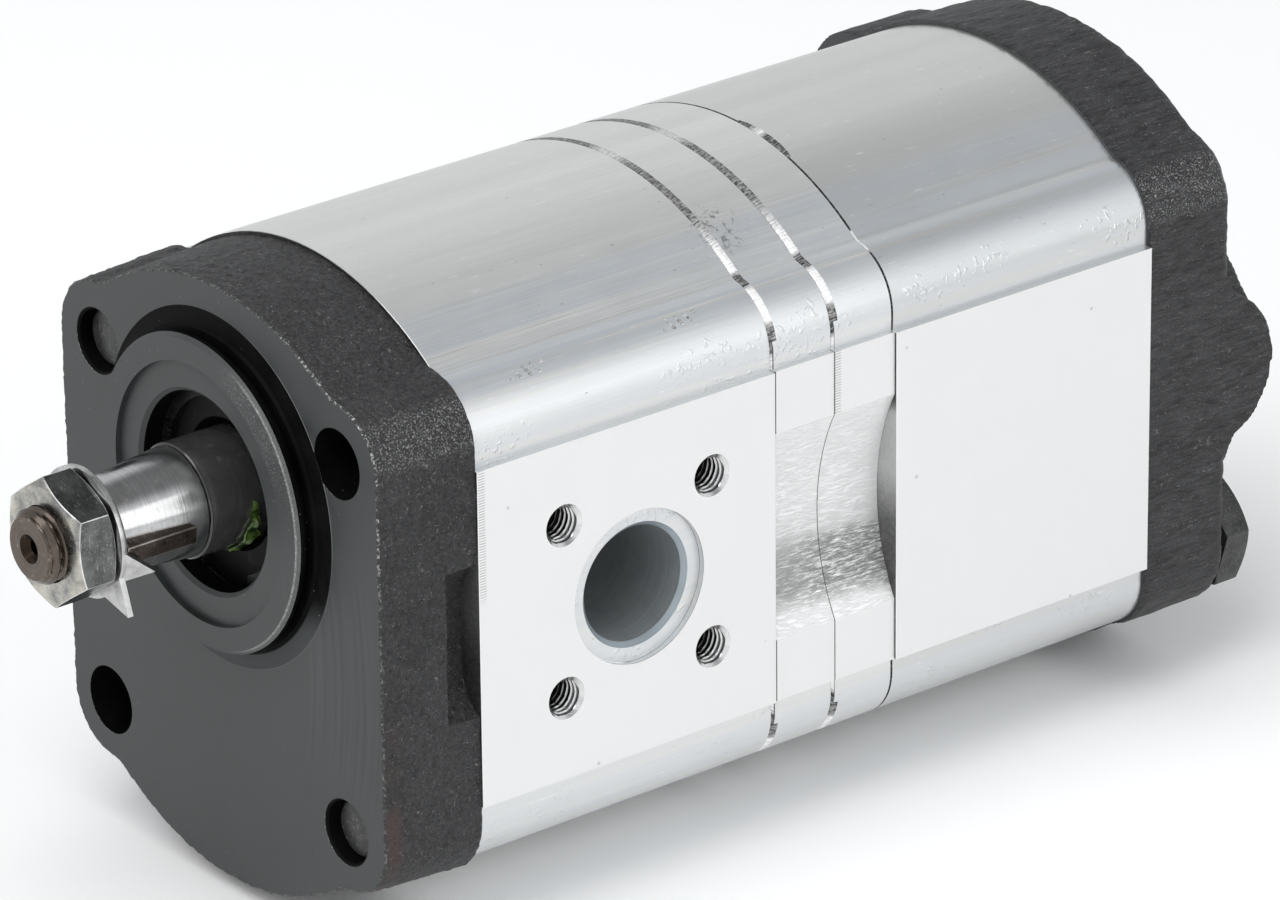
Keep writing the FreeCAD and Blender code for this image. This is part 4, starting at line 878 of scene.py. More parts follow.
@dataclass(frozen=True)
class TurnedFinish(Finish):
    """Turned or ground steel with rings about the shaft axis."""

    dark: Colour = grey(0.30)
    light: Colour = (0.52, 0.52, 0.51)
    roughness: float = 0.26
    ring: float = 0.22
    stain: Colour = (0.22, 0.17, 0.13)
    stained: float = 0.15
    satin_from: float = 900.0

    def dress(self, recipe: Recipe) -> None:
        """Rings follow the place along the shaft and the distance from it.

        Args:
            recipe: The material to fill in.
        """
        place = recipe.millimetres()
        across, along, up = recipe.parts(place)
        reach = across.apart(up)
        rings = recipe.noise(recipe.joined(along + reach * 0.6, reach * 0.02, 0.0), self.ring, 2.0)
        cloud = recipe.noise(place, 3.2, 4.0, 0.65)
        base = recipe.blend((rings * 0.6 + cloud * 0.7 - 0.15).held(), self.dark, self.light)
        spots = recipe.noise(place, 1.3, 3.0).rises(0.58, 0.72) * self.stained
        satin = along.rises(self.satin_from - 0.1, self.satin_from + 0.1)
        step = along.band(self.satin_from - 0.1, self.satin_from + 0.45, 0.05)
        dull = recipe.blend(cloud * 0.9 + rings * 0.1, (0.16, 0.155, 0.15), grey(0.6))
        base = recipe.blend(satin, base, dull)
        base = recipe.blend(step * 0.85, base, grey(0.02))
        recipe.set(
            Base_Color=recipe.blend(spots, base, self.stain),
            Metallic=1.0 - spots * 0.6 - satin * 0.1,
            Roughness=self.roughness + (cloud - 0.5) * 0.16 + spots * 0.5 - satin * 0.03,
            Normal=recipe.relief(rings * (0.8 - satin * 0.65) + cloud * 0.4, 0.006),
        )


@dataclass(frozen=True)
class PlatedFinish(Finish):
    """Zinc or browned steel: small scratches over a cloudy plated colour."""

    dark: Colour = (0.36, 0.36, 0.35)
    light: Colour = (0.66, 0.64, 0.58)
    roughness: float = 0.3
    metal: float = 1.0
    scratches: float = 0.5
    gloss: float = 0.5

    def dress(self, recipe: Recipe) -> None:
        """Clouds mix the two colours and thin stretched noise makes scratches.

        Args:
            recipe: The material to fill in.
        """
        place = recipe.millimetres()
        cloud = recipe.noise(place, 3.0, 4.0, 0.6)
        thin = recipe.noise(recipe.scaled(place, (0.18, 1.0, 1.0)), 0.28, 2.0)
        cross = recipe.noise(recipe.scaled(place, (1.0, 1.0, 0.15)), 0.3, 2.0)
        scratch = (thin.rises(0.6, 0.7) + cross.rises(0.62, 0.72)).held() * self.scratches
        base = recipe.blend(cloud.rises(0.3, 0.7), self.dark, self.light)
        recipe.set(
            Base_Color=recipe.blend(scratch * 0.5, base, (0.75, 0.75, 0.73)),
            Metallic=self.metal,
            Specular_IOR_Level=self.gloss,
            Roughness=self.roughness + (cloud - 0.5) * 0.2 + scratch * 0.1,
            Normal=recipe.relief(thin * 0.5 + cross * 0.5, 0.01),
        )


@dataclass(frozen=True)
class RubberFinish(Finish):
    """Moulded rubber, oily and nearly black, its black deepened as painted shade inside the bore.
    """

    # Darker than rubber's own black: painted shade inside the bore.
    colour: Colour = grey(0.002)

    def dress(self, recipe: Recipe) -> None:
        """A fine matt skin with oily patches.

        Args:
            recipe: The material to fill in.
        """
        place = recipe.millimetres()
        oil = recipe.noise(place, 4.0, 3.0)
        recipe.set(
            Base_Color=recipe.blend(oil, self.colour, tuple(2.2 * part for part in self.colour)),
            Roughness=0.5 - oil.rises(0.5, 0.7) * 0.25,
            Specular_IOR_Level=0.1,
            Normal=recipe.relief(recipe.noise(place, 0.3, 2.0), 0.01),
        )


@dataclass(frozen=True)
class GreaseFinish(Finish):
    """Green assembly grease, wet and a little see-through."""

    thin: Colour = (0.012, 0.03, 0.008)
    thick: Colour = (0.11, 0.19, 0.045)

    def dress(self, recipe: Recipe) -> None:
        """Streaks of thicker grease under a wet coat.

        Args:
            recipe: The material to fill in.
        """
        place = recipe.millimetres()
        streak = recipe.noise(recipe.scaled(place, (1.0, 0.4, 1.0)), 1.1, 3.0)
        recipe.set(
            Base_Color=recipe.blend(streak.rises(0.35, 0.65), self.thin, self.thick),
            Roughness=0.12 + streak * 0.12,
            Transmission_Weight=0.35,
            IOR=1.45,
            Normal=recipe.relief(streak, 0.12),
        )


CAST = CastFinish("front_iron_cast", "cover_iron")
REAR_CAST = CastFinish("rear_iron_cast", "cover_iron", pull=6.0, threads=0.25)
FACED = FacedIronFinish("cover_faced", "cover_iron")
# Near-black painted shade for the covers' bores, the spigot's groove and the bolt holes, with
# painted light on the lower part of the spigot's cone.
SHADED_HOLE_IRON = FacedIronFinish(
    "cover_bored_shade",
    "cover_iron",
    dark=grey(0.001),
    light=grey(0.006),
    lip=0.0,
    foot=1.0,
    gloss=0.03,
)
WORN_AND_LIT = WornAndLitIronFinish("cover_worn_and_lit", "cover_iron")
DRAWN = DrawnFinish("front_body_drawn", "body_aluminium")
REAR_DRAWN = DrawnFinish(
    "rear_body_drawn",
    "body_aluminium",
    dark=(0.56, 0.56, 0.55),
    light=(0.68, 0.68, 0.67),
    roughness=0.27,
    streaks=0.6,
    lines=0.006,
)
MILLED = MilledFinish("body_milled", "body_aluminium")
BORED = BoredFinish("body_bored", "body_aluminium", metal=0.4, roughness=0.4)
PORT_RING = BoredFinish(
    "body_port_ring",
    "body_aluminium",
    dark=(0.60, 0.655, 0.64),
    light=(0.74, 0.79, 0.775),
    metal=0.3,
    roughness=0.3,
)
PORT_EDGE = BoredFinish(
    "body_port_edge",
    "body_aluminium",
    dark=(0.22, 0.26, 0.29),
    light=(0.38, 0.43, 0.46),
    metal=0.5,
)
# Threaded holes: painted shade at the roots and from 2 to 6 mm deep.
THREADED = BoredFinish(
    "body_threaded",
    "body_aluminium",
    dark=grey(0.45),
    light=grey(0.9),
    metal=1.0,
    roughness=0.2,
    fade=(2.0, 6.0),
    root_shade=0.9,
)
# Near-black painted shade for the screw holes through the sections.
SHADED_DEEP_HOLE = BoredFinish(
    "body_deep_hole_shade", "body_aluminium", dark=grey(0.004), light=grey(0.012), metal=0.0
)
# Dark along the joint, with a painted highlight from bearing 49 to 53.5.
SEAM = StripFinish(
    "body_seam",
    "body_aluminium",
    stops=((30.0, 0.0), (48.0, 0.02), (49.0, 0.6), (53.5, 0.6), (54.0, 0.0), (90.0, 0.02)),
    ticks=0.2,
    side=0.02,
    gloss=0.05,
)
# Pale exposed front edge, its level by bearing painted light and shade.
BARE_LIT_EDGE = StripFinish(
    "body_bare_lit_edge",
    "body_aluminium",
    stops=((30.0, 0.8), (48.0, 0.7), (56.0, 0.95), (66.0, 0.9), (72.0, 0.4), (90.0, 0.4)),
    ticks=0.25,
    side=0.9,
)
# Section ends seen through the plates' hollows: painted light and shade; the front body's end
# inside the cover's notch takes a darker copy as painted shade.
END = EndFinish("body_end", "body_aluminium")
SHADED_END = EndFinish("body_shaded_end", "body_aluminium", pale=0.12)
# The same dark joint and painted highlight, with pale flat sides.
OPEN_SEAM = StripFinish(
    "body_open_seam",
    "body_aluminium",
    stops=SEAM.stops,
    ticks=0.25,
    side=0.85,
    gloss=0.05,
)
# Grey dots and a dark open dash, their levels by bearing painted light and shade.
DASH = StripFinish(
    "body_dash",
    "body_aluminium",
    stops=(
        *((30.0, 0.42), (66.0, 0.42), (70.0, 0.12), (80.0, 0.1)),
        *((81.5, 0.8), (83.0, 0.5), (84.5, 0.08), (90.0, 0.08)),
    ),
    gloss=0.1,
)
PLATE_SKIN = DrawnFinish("plate_drawn", "plate_aluminium")
# Sawn front strip of the plates: its level by bearing is painted light and shade.
SAWN = StripFinish(
    "plate_sawn",
    "plate_aluminium",
    stops=(
        *((35.5, 0.95), (36.6, 0.9), (37.4, 0.12), (41.5, 0.2), (42.5, 0.9)),
        *((48.5, 0.85), (49.8, 0.1), (52.4, 0.1), (53.4, 0.9), (58.0, 0.75)),
        *((62.0, 0.45), (67.0, 0.16), (84.0, 0.16), (88.0, 0.5)),
    ),
)
# Dark plate rims along the joints, with a painted highlight from bearing 49 to 53.5.
PLATE_EDGE = StripFinish(
    "plate_edge",
    "plate_aluminium",
    stops=((30.0, 0.04), (48.0, 0.05), (49.0, 0.5), (53.5, 0.5), (54.0, 0.04), (90.0, 0.05)),
    ticks=0.35,
    side=0.04,
)
SCOOP = ScoopFinish("plate_scooped", "plate_aluminium")
PLATE_SIDE = MilledFinish("plate_milled", "plate_aluminium", edge=86.0)
BLOCK = MilledFinish("block_turned", "block_aluminium", colour=(0.62, 0.62, 0.61))
SHAFT = TurnedFinish(
    "shaft_ground",
    "shaft_steel",
    dark=grey(0.3),
    light=grey(0.7),
    roughness=0.16,
    satin_from=-7.85,
)
THREAD = TurnedFinish(
    "shaft_thread",
    "shaft_steel",
    dark=(0.05, 0.041, 0.035),
    light=(0.17, 0.14, 0.118),
    stain=(0.4, 0.36, 0.32),
    stained=0.4,
    roughness=0.2,
)
CENTRE = TurnedFinish(
    "shaft_centre", "shaft_steel", dark=(0.006, 0.004, 0.003), light=(0.05, 0.035, 0.025)
)
GEAR = TurnedFinish("gear_ground", "gear_steel")
NUT = PlatedFinish(
    "nut_plated", "nut_steel", dark=(0.085, 0.09, 0.088), light=(0.17, 0.175, 0.17), roughness=0.2
)
NUT_FACE = PlatedFinish(
    "nut_turned", "nut_steel", dark=grey(0.2), light=(0.5, 0.485, 0.43), roughness=0.26
)
BRIGHT_EDGE = PlatedFinish("nut_edge", "nut_steel", dark=grey(0.4), light=grey(0.75))
KEY_EDGE = PlatedFinish("key_edge", "key_steel", dark=(0.3, 0.26, 0.23), light=(0.6, 0.56, 0.52))
WASHER = PlatedFinish("washer_plated", "washer_steel", dark=grey(0.34), light=(0.58, 0.58, 0.57))
KEY = PlatedFinish(
    "key_browned", "key_steel", dark=(0.085, 0.066, 0.055), light=(0.13, 0.103, 0.088)
)
SCREW = PlatedFinish(
    "screw_black",
    "screw_steel",
    dark=(0.022, 0.022, 0.023),
    light=grey(0.06),
    metal=0.4,
    scratches=0.25,
)
# Spring ring: near black, painted shade inside the spigot's bore.
RING = PlatedFinish(
    "ring_spring",
    "ring_steel",
    dark=grey(0.004),
    light=grey(0.014),
    metal=0.3,
    scratches=0.1,
    gloss=0.08,
)
BRONZE = TurnedFinish(
    "bush_bronze_bored", "bush_bronze", dark=(0.36, 0.25, 0.13), light=(0.6, 0.44, 0.24)
)
RUBBER = RubberFinish("seal_moulded", "seal_rubber")
GREASE = GreaseFinish("seal_grease", "seal_rubber")


# Meshes


@dataclass
class Solid:
    """Closed surface under construction, in millimetres."""

    points: np.ndarray
    quads: np.ndarray
    caps: list[list[int]] = field(default_factory=list)
    finish_number: int = 0

    def outward(self) -> "Solid":
        """Turns all faces round if they enclose a negative volume.

        Returns:
            The same solid.
        """
        a, b, c, d = (self.points[self.quads[:, k]] for k in range(4))
        volume = np.einsum("ij,ij->", a, np.cross(b, c)) + np.einsum("ij,ij->", a, np.cross(c, d))
        for cap in self.caps:
            ring = self.points[cap]
            middle = ring.mean(axis=0)
            volume += np.einsum("j,ij->", middle, np.cross(ring, np.roll(ring, -1, axis=0)))
        if volume < 0:
            self.quads = self.quads[:, ::-1]
            self.caps = [cap[::-1] for cap in self.caps]
        return self

    def mesh(self, name: str, finishes: Sequence[Finish]) -> bpy.types.Mesh:
        """Blender mesh in metres.

        Args:
            name: Name of the mesh.
            finishes: Finishes for its material slots.

        Returns:
            The mesh, with every face in the solid's own slot.
        """
        mesh = bpy.data.meshes.new(name)
        faces = self.quads.tolist() + self.caps
        mesh.from_pydata((self.points * MILLIMETRE).tolist(), [], faces)
        for finish in finishes:
            mesh.materials.append(finish.material())
        mesh.polygons.foreach_set("material_index", [self.finish_number] * len(faces))
        mesh.update()
        return mesh


def tube_quads(stations: int, around: int) -> np.ndarray:
    """Quads of a tube of rings: each joins neighbours in its ring and the next ring.

    Args:
        stations: Number of rings.
        around: Points in one ring.

    Returns:
        Corner numbers, one row for each quad.
    """
    row, column = np.meshgrid(np.arange(stations - 1), np.arange(around), indexing="ij")
    following = (column + 1) % around
    corners = [
        row * around + column,
        row * around + following,
        (row + 1) * around + following,
        (row + 1) * around + column,
    ]
    return np.stack([corner.ravel() for corner in corners], axis=1)


def loft(rings: np.ndarray, finish_number: int = 0) -> Solid:
    """Closed solid through rings of points.

    Args:
        rings: Array of (station, point in the ring, coordinate).
        finish_number: Material slot of its faces.

    Returns:
        The tube between the rings with a flat cap on its first and last ring.
    """
    stations, around, _ = rings.shape
    last = (stations - 1) * around
    caps = [list(range(around))[::-1], list(range(last, last + around))]
    return Solid(rings.reshape(-1, 3), tube_quads(stations, around), caps, finish_number).outward()


def gathered(solids: Sequence[Solid], finish_number: int) -> Solid:
    """Several closed solids as one tool, their points one after another.

    Args:
        solids: The solids.
        finish_number: Material slot of their faces.

    Returns:
        The tool.
    """
    starts = np.cumsum([0] + [len(single.points) for single in solids]).tolist()
    quads = [single.quads + start for single, start in zip(solids, starts)]
    caps = [
        [number + start for number in cap]
        for single, start in zip(solids, starts)
        for cap in single.caps
    ]
    points = [single.points for single in solids]
    return Solid(np.concatenate(points), np.concatenate(quads), caps, finish_number)


def revolved(
    along: np.ndarray,
    radius: np.ndarray,
    around: int,
    centre: Pair = (0.0, 0.0),
) -> np.ndarray:
    """Rings about an axis parallel to the shaft.

    The point at angle t of the ring at y is (x0 + r cos t, y, z0 + r sin t).

    Args:
        along: Place of each ring along the shaft.
        radius: One radius for each ring, or one for each point of each ring.
        around: Points in a ring.
        centre: The axis, across and up.

    Returns:
        Array of (ring, point in the ring, coordinate).
    """
    angle = np.linspace(0, 2 * np.pi, around, endpoint=False)
    radius = np.asarray(radius).reshape(len(along), -1)
    rings = np.empty((len(along), around, 3))
    rings[..., 0] = centre[0] + radius * np.cos(angle)
    rings[..., 1] = np.asarray(along)[:, None]
    rings[..., 2] = centre[1] + radius * np.sin(angle)
    return rings


def turned(
    profile: Sequence[Pair],
    around: int = 96,
    centre: Pair = (0.0, 0.0),
    finish_number: int = 0,
) -> Solid:
    """Solid of revolution about an axis parallel to the shaft.

    Args:
        profile: Stations (place along the shaft, radius) with radii above 0.
        around: Points in a ring.
        centre: The axis, across and up.
        finish_number: Material slot of its faces.

    Returns:
        The solid with flat ends.
    """
    along, radius = np.array(profile, float).T
    return loft(revolved(along, radius, around, centre), finish_number)


def thread_wave(turns: np.ndarray) -> np.ndarray:
    """Thread profile over one turn: a flat crest, a straight flank, a flat root and a flank.

    Args:
        turns: Place along the thread in turns; only its fraction counts.

    Returns:
        0 at the root to 1 at the crest.
    """
    share = np.abs((turns % 1.0) - 0.5) * 2
    return np.clip((share - 0.12) / 0.72, 0, 1)


def threaded_rod(
    length: float,
    pitch: float,
    core: float,
    crest: float,
    mouth: float,
    around: int = 40,
    samples: int = 10,
) -> np.ndarray:
    """Rings of a threaded hole's core, standing along the shaft from its mouth at 0 to -length.

    The radius at angle t and depth s is the larger of the thread, which rises and falls with
    s / pitch - t / 2 pi, and the cone of the mouth, which falls by 1 for each millimetre of depth.

    Args:
        length: Threaded depth.
        pitch: Distance from crest to crest.
        core: Smallest radius.
        crest: Largest radius.
        mouth: Radius of the countersink at depth 0.
        around: Points in a ring.
        samples: Rings in one pitch.

    Returns:
        The rings, with a drill's cone at the bottom.
    """
    count = int(length / pitch * samples)
    depth = np.concatenate([[-1.0], np.linspace(0, length, count + 1)])
    angle = np.linspace(0, 2 * np.pi, around, endpoint=False)
    turns = depth[:, None] / pitch - angle / (2 * np.pi)
    radius = core + (crest - core) * thread_wave(turns)
    radius = np.maximum(radius, mouth - depth[:, None])
    tip_depth = np.array([length + core * 0.55, length + core * 0.58])
    tip_radius = np.array([core * 0.06, core * 0.01])
    depth = np.concatenate([depth, [length + 0.01], tip_depth])
    tip = np.repeat(tip_radius[:, None], around, 1)
    radius = np.concatenate([radius, np.full((1, around), core), tip])
    return revolved(-depth, radius, around)


def rumple(points: np.ndarray, grain: float, seed: int, waves: int = 24) -> np.ndarray:
    """Smooth random field: a sum of sine waves in random directions, of wavelengths near grain.

    Args:
        points: Places in millimetres, one row each.
        grain: Middle wavelength in millimetres.
        seed: Seed of the directions.
        waves: Number of waves.

    Returns:
        The field, with a spread near 1.
    """
    draw = np.random.default_rng(seed)
    ways = draw.normal(size=(waves, 3))
    ways /= np.linalg.norm(ways, axis=1, keepdims=True)
    lengths = grain * draw.uniform(0.6, 1.6, waves)
    starts = draw.uniform(0, 2 * np.pi, waves)
    field_sum = np.zeros(len(points))
    for way, length, start in zip(ways, lengths, starts):
        field_sum += np.sin(points @ way * (2 * np.pi / length) + start)
    return field_sum / math.sqrt(waves / 2)


@dataclass(frozen=True)
class SectionOutline:
    """Outline of a pump section: two crowns and four bolt lobes with hollow corners between."""

    crown: float
    lobe: float
    blend: float = 3.0
    offset: float = BOLT_OFFSET

    def quarter(self, samples: int) -> np.ndarray:
        """Upper right quarter from the top of the crown to the middle of the side.

        Args:
            samples: Number of points, spread evenly.

        Returns:
            Points (across, up) from the section's middle.
        """
        reach = self.offset * math.sqrt(2)
        far = self.crown + self.blend
        near = self.lobe + self.blend
        along = (far**2 - near**2 + reach**2) / (2 * reach)
        aside = math.sqrt(max(far**2 - along**2, 0.0))
        hollow = np.array([along - aside, along + aside]) / math.sqrt(2)
        crown_end = hollow * self.crown / far
        centre = np.array([self.offset, self.offset])
        lobe_start = centre + (hollow - centre) * self.lobe / near

        def arc(middle: np.ndarray, radius: float, begin: float, end: float) -> np.ndarray:
            """Sixty points of an arc between two angles."""
            angle = np.linspace(begin, end, 60)
            return middle + radius * np.stack([np.cos(angle), np.sin(angle)], axis=1)

        crown_angle = math.atan2(crown_end[1], crown_end[0])
        lobe_angle = math.atan2(*(lobe_start - centre)[::-1])
        pieces = [
            arc(np.zeros(2), self.crown, math.pi / 2, crown_angle),
            arc(hollow, self.blend, crown_angle - math.pi, lobe_angle - math.pi),
            arc(centre, self.lobe, lobe_angle, 0.0),
            np.array([[self.offset + self.lobe, 0.0]]),
        ]
        line = np.concatenate(pieces)
        steps = np.linalg.norm(np.diff(line, axis=0), axis=1)
        length = np.concatenate([[0.0], np.cumsum(steps)])
        wanted = np.linspace(0.0, length[-1], samples)
        return np.stack([np.interp(wanted, length, line[:, k]) for k in range(2)], axis=1)

    def ring(self, samples: int) -> np.ndarray:
        """The whole outline.

        Args:
            samples: Points in a quarter.

        Returns:
            Points (across, up) from the section's middle, all the way round.
        """
        quarter = self.quarter(samples)
        right = np.concatenate([quarter[:-1], (quarter[1:] * [1, -1])[::-1]])
        return np.concatenate([right, -right])

    def leaves_out(self, points: np.ndarray, slope: float = 0.0) -> np.ndarray:
        """Which points lie outside the outline, which may grow along the shaft.

        A point is outside when it is farther from the middle than the crown and from every bolt
        axis than the lobe, or beyond the side that joins two lobes.

        Args:
            points: Places in millimetres.
            slope: Growth for each millimetre along the shaft, from where its coordinate is 0.

        Returns:
            True for each point outside.
        """
        across = np.abs(points[:, 0])
        up = np.abs(points[:, 2] - MIDDLE_UP)
        grown = points[:, 1] * slope
        in_crown = np.hypot(across, up) < self.crown + grown
        in_lobe = np.hypot(across - self.offset, up - self.offset) < self.lobe + grown
        in_side = (across < self.offset + self.lobe + grown) & (up < self.offset)
        in_crown &= (across < self.offset) | (up > self.offset)
        return ~(in_crown | in_lobe | in_side)


# Working on pieces


def new_piece(name: str, mesh: bpy.types.Mesh) -> Piece:
    """Object at the origin, in the scene.

    Args:
        name: Its name.
        mesh: Its mesh.

    Returns:
        The object.
    """
    piece = bpy.data.objects.new(name, mesh)
    bpy.context.scene.collection.objects.link(piece)
    return piece


def drop(piece: Piece) -> None:
    """Removes a helper object and its mesh.

    Args:
        piece: The helper.
    """
    mesh = piece.data
    bpy.data.objects.remove(piece)
    bpy.data.meshes.remove(mesh)


def settle(piece: Piece) -> None:
    """Applies a piece's modifiers to its mesh.

    Args:
        piece: Object that changes.
    """
    graph = bpy.context.evaluated_depsgraph_get()
    mesh = bpy.data.meshes.new_from_object(piece.evaluated_get(graph))
    piece.modifiers.clear()
    old = piece.data
    piece.data = mesh
    bpy.data.meshes.remove(old)


def work(piece: Piece, solid: Solid, how: Joining, finishes: Sequence[Finish]) -> None:
    """Cuts a solid away, or keeps what the piece and the solid share.

    Args:
        piece: Object that changes.
        solid: Tool shape.
        how: What is done with it.
        finishes: Finishes of both, so that new faces keep their slot.
    """
    tool = new_piece("tool", solid.mesh("tool", finishes))
    work_object(piece, tool, how)


def work_object(piece: Piece, tool: Piece, how: Joining) -> None:
    """Does the same with a tool that is an object, and removes the tool.

    Args:
        piece: Object that changes.
        tool: The tool.
        how: What is done with it.
    """
    step = piece.modifiers.new("step", "BOOLEAN")
    step.operation = how.value
    step.solver = "EXACT"
    step.object = tool
    settle(piece)
    drop(tool)


@contextmanager
def edited(
    mesh: bpy.types.Mesh, source: bpy.types.Mesh | None = None
) -> Iterator[bmesh.types.BMesh]:
    """Opens a mesh for editing and writes it back.

    Args:
        mesh: The mesh that changes.
        source: The mesh that it starts from, where that is another one.

    Yields:
        The open mesh.
    """
    opened = bmesh.new()
    opened.from_mesh(source or mesh)
    yield opened
    opened.to_mesh(mesh)
    opened.free()


def slice_across(
    opened: bmesh.types.BMesh, place: float, drop_front: bool = False
) -> list[bmesh.types.BMEdge]:
    """Cuts an open mesh by a plane across the shaft.

    Args:
        opened: The open mesh.
        place: Where the plane crosses the shaft, in millimetres.
        drop_front: Whether all in front of the plane goes.

    Returns:
        The edges in the plane.
    """
    cut = bmesh.ops.bisect_plane(
        opened,
        geom=list(opened.verts) + list(opened.edges) + list(opened.faces),
        plane_co=(0, place * MILLIMETRE, 0),
        plane_no=(0, 1, 0),
        clear_inner=drop_front,
    )
    return [part for part in cut["geom_cut"] if isinstance(part, bmesh.types.BMEdge)]


def node_copy(node: str, finishes: Sequence[Finish], name: str) -> Piece:
    """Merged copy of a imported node's mesh as a new object.

    Args:
        node: The node.
        finishes: Finishes for the slots of the copy.
        name: Name of the new object.

    Returns:
        The object, all its faces in slot 0.
    """
    mesh = bpy.data.meshes.new(name)
    with edited(mesh, frame["nodes"][node].data) as opened:
        bmesh.ops.remove_doubles(opened, verts=opened.verts, dist=2e-6)
        bmesh.ops.dissolve_limit(
            opened,
            angle_limit=math.radians(0.05),
            verts=opened.verts,
            edges=opened.edges,
            use_dissolve_boundaries=False,
        )
        for face in opened.faces:
            face.material_index = 0
    mesh.materials.clear()
    for finish in finishes:
        mesh.materials.append(finish.material())
    if "custom_normal" in mesh.attributes:
        mesh.attributes.remove(mesh.attributes["custom_normal"])
    return new_piece(name, mesh)


def places_of(piece: Piece) -> np.ndarray:
    """Vertices of a piece.

    Args:
        piece: The piece.

    Returns:
        One row for each vertex, in millimetres.
    """
    flat = np.empty(len(piece.data.vertices) * 3, np.float32)
    piece.data.vertices.foreach_get("co", flat)
    return flat.reshape(-1, 3).astype(float) / MILLIMETRE


def move_to(piece: Piece, points: np.ndarray) -> None:
    """Writes vertices in millimetres back into a piece."""
    piece.data.vertices.foreach_set("co", (points * MILLIMETRE).astype(np.float32).ravel())
    piece.data.update()


@dataclass(frozen=True)
class Faces:
    """A piece's faces: their middles in millimetres, normals and finish numbers."""

    middles: np.ndarray
    normals: np.ndarray
    numbers: np.ndarray

    @property
    def across(self) -> np.ndarray:
        """Distance to the side of the shaft, the same on both sides."""
        return np.abs(self.middles[:, 0])

    @property
    def along(self) -> np.ndarray:
        """Place along the shaft."""
        return self.middles[:, 1]

    @property
    def raised(self) -> np.ndarray:
        """Distance above or below the section's middle."""
        return np.abs(self.middles[:, 2] - MIDDLE_UP)

    @property
    def reach(self) -> np.ndarray:
        """Distance from the shaft's axis."""
        return np.hypot(self.middles[:, 0], self.middles[:, 2])

    @property
    def from_bolt(self) -> np.ndarray:
        """Distance from the nearest bolt axis."""
        return np.hypot(self.across - BOLT_OFFSET, self.raised - BOLT_OFFSET)

    @property
    def facing(self) -> np.ndarray:
        """How far a face looks along the shaft: -1 to the front, 1 to the rear."""
        return self.normals[:, 1]


def faces_of(piece: Piece) -> Faces:
    """What a rule needs to know of a piece's faces.

    Args:
        piece: The piece.

    Returns:
        The faces.
    """
    count = len(piece.data.polygons)
    middles = np.empty(count * 3, np.float32)
    normals = np.empty(count * 3, np.float32)
    numbers = np.empty(count, np.int32)
    piece.data.polygons.foreach_get("center", middles)
    piece.data.polygons.foreach_get("normal", normals)
    piece.data.polygons.foreach_get("material_index", numbers)
    return Faces(middles.reshape(-1, 3) / MILLIMETRE, normals.reshape(-1, 3), numbers)


def assign(piece: Piece, rule: Callable[[Faces], np.ndarray]) -> None:
    """Gives each face its finish number.

    Args:
        piece: Object that changes.
        rule: New finish numbers of its faces.
    """
    numbers = rule(faces_of(piece)).astype(np.int32)
    piece.data.polygons.foreach_set("material_index", numbers)
    piece.data.update()


def bevel_sharp(
    piece: Piece,
    width: float,
    test: EdgeTest,
    angle: float = 35,
    finish_number: int = -1,
) -> None:
    """Takes the edge off sharp corners of a piece.

    Args:
        piece: Object that changes.
        width: Width of the bevel in millimetres.
        test: Says from an edge's two ends, in millimetres, whether it is taken.
        angle: Smallest angle between the two faces, in degrees.
        finish_number: Slot of the new faces; -1 takes the neighbour's.
    """
    limit = math.radians(angle)
    with edited(piece.data) as opened:
        chosen = [
            edge
            for edge in opened.edges
            if len(edge.link_faces) == 2
            and edge.calc_face_angle(0.0) > limit
            and test(edge.verts[0].co / MILLIMETRE, edge.verts[1].co / MILLIMETRE)
        ]
        bmesh.ops.bevel(
            opened,
            geom=chosen,
            offset=width * MILLIMETRE,
            offset_type="OFFSET",
            segments=2,
            profile=0.5,
            affect="EDGES",
            clamp_overlap=True,
            material=finish_number,
        )


def finish_piece(
    piece: Piece,
    body: str,
    replaced: Sequence[str] = (),
    angle: float = 30.0,
) -> Piece:
    """Shades a piece and ties it to its body.

    Args:
        piece: Finished object.
        body: Body that it rides on.
        replaced: Nodes that it stands for.
        angle: Corners sharper than this many degrees stay sharp.

    Returns:
        The piece.
    """
    mesh = piece.data
    mesh.polygons.foreach_set("use_smooth", [True] * len(mesh.polygons))
    mesh.set_sharp_from_angle(angle=math.radians(angle))
    even = piece.modifiers.new("even_normals", "WEIGHTED_NORMAL")
    even.keep_sharp = True
    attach(piece, body)
    if replaced:
        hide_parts(*replaced)
    LOG.info("%s: %d faces on %s", piece.name, len(mesh.polygons), body)
    return piece


def node_span(node: str) -> tuple[np.ndarray, np.ndarray]:
    """Lowest and highest corner of a node in millimetres."""
    low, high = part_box(node)
    return np.array(low) / MILLIMETRE, np.array(high) / MILLIMETRE


# Sub-assemblies


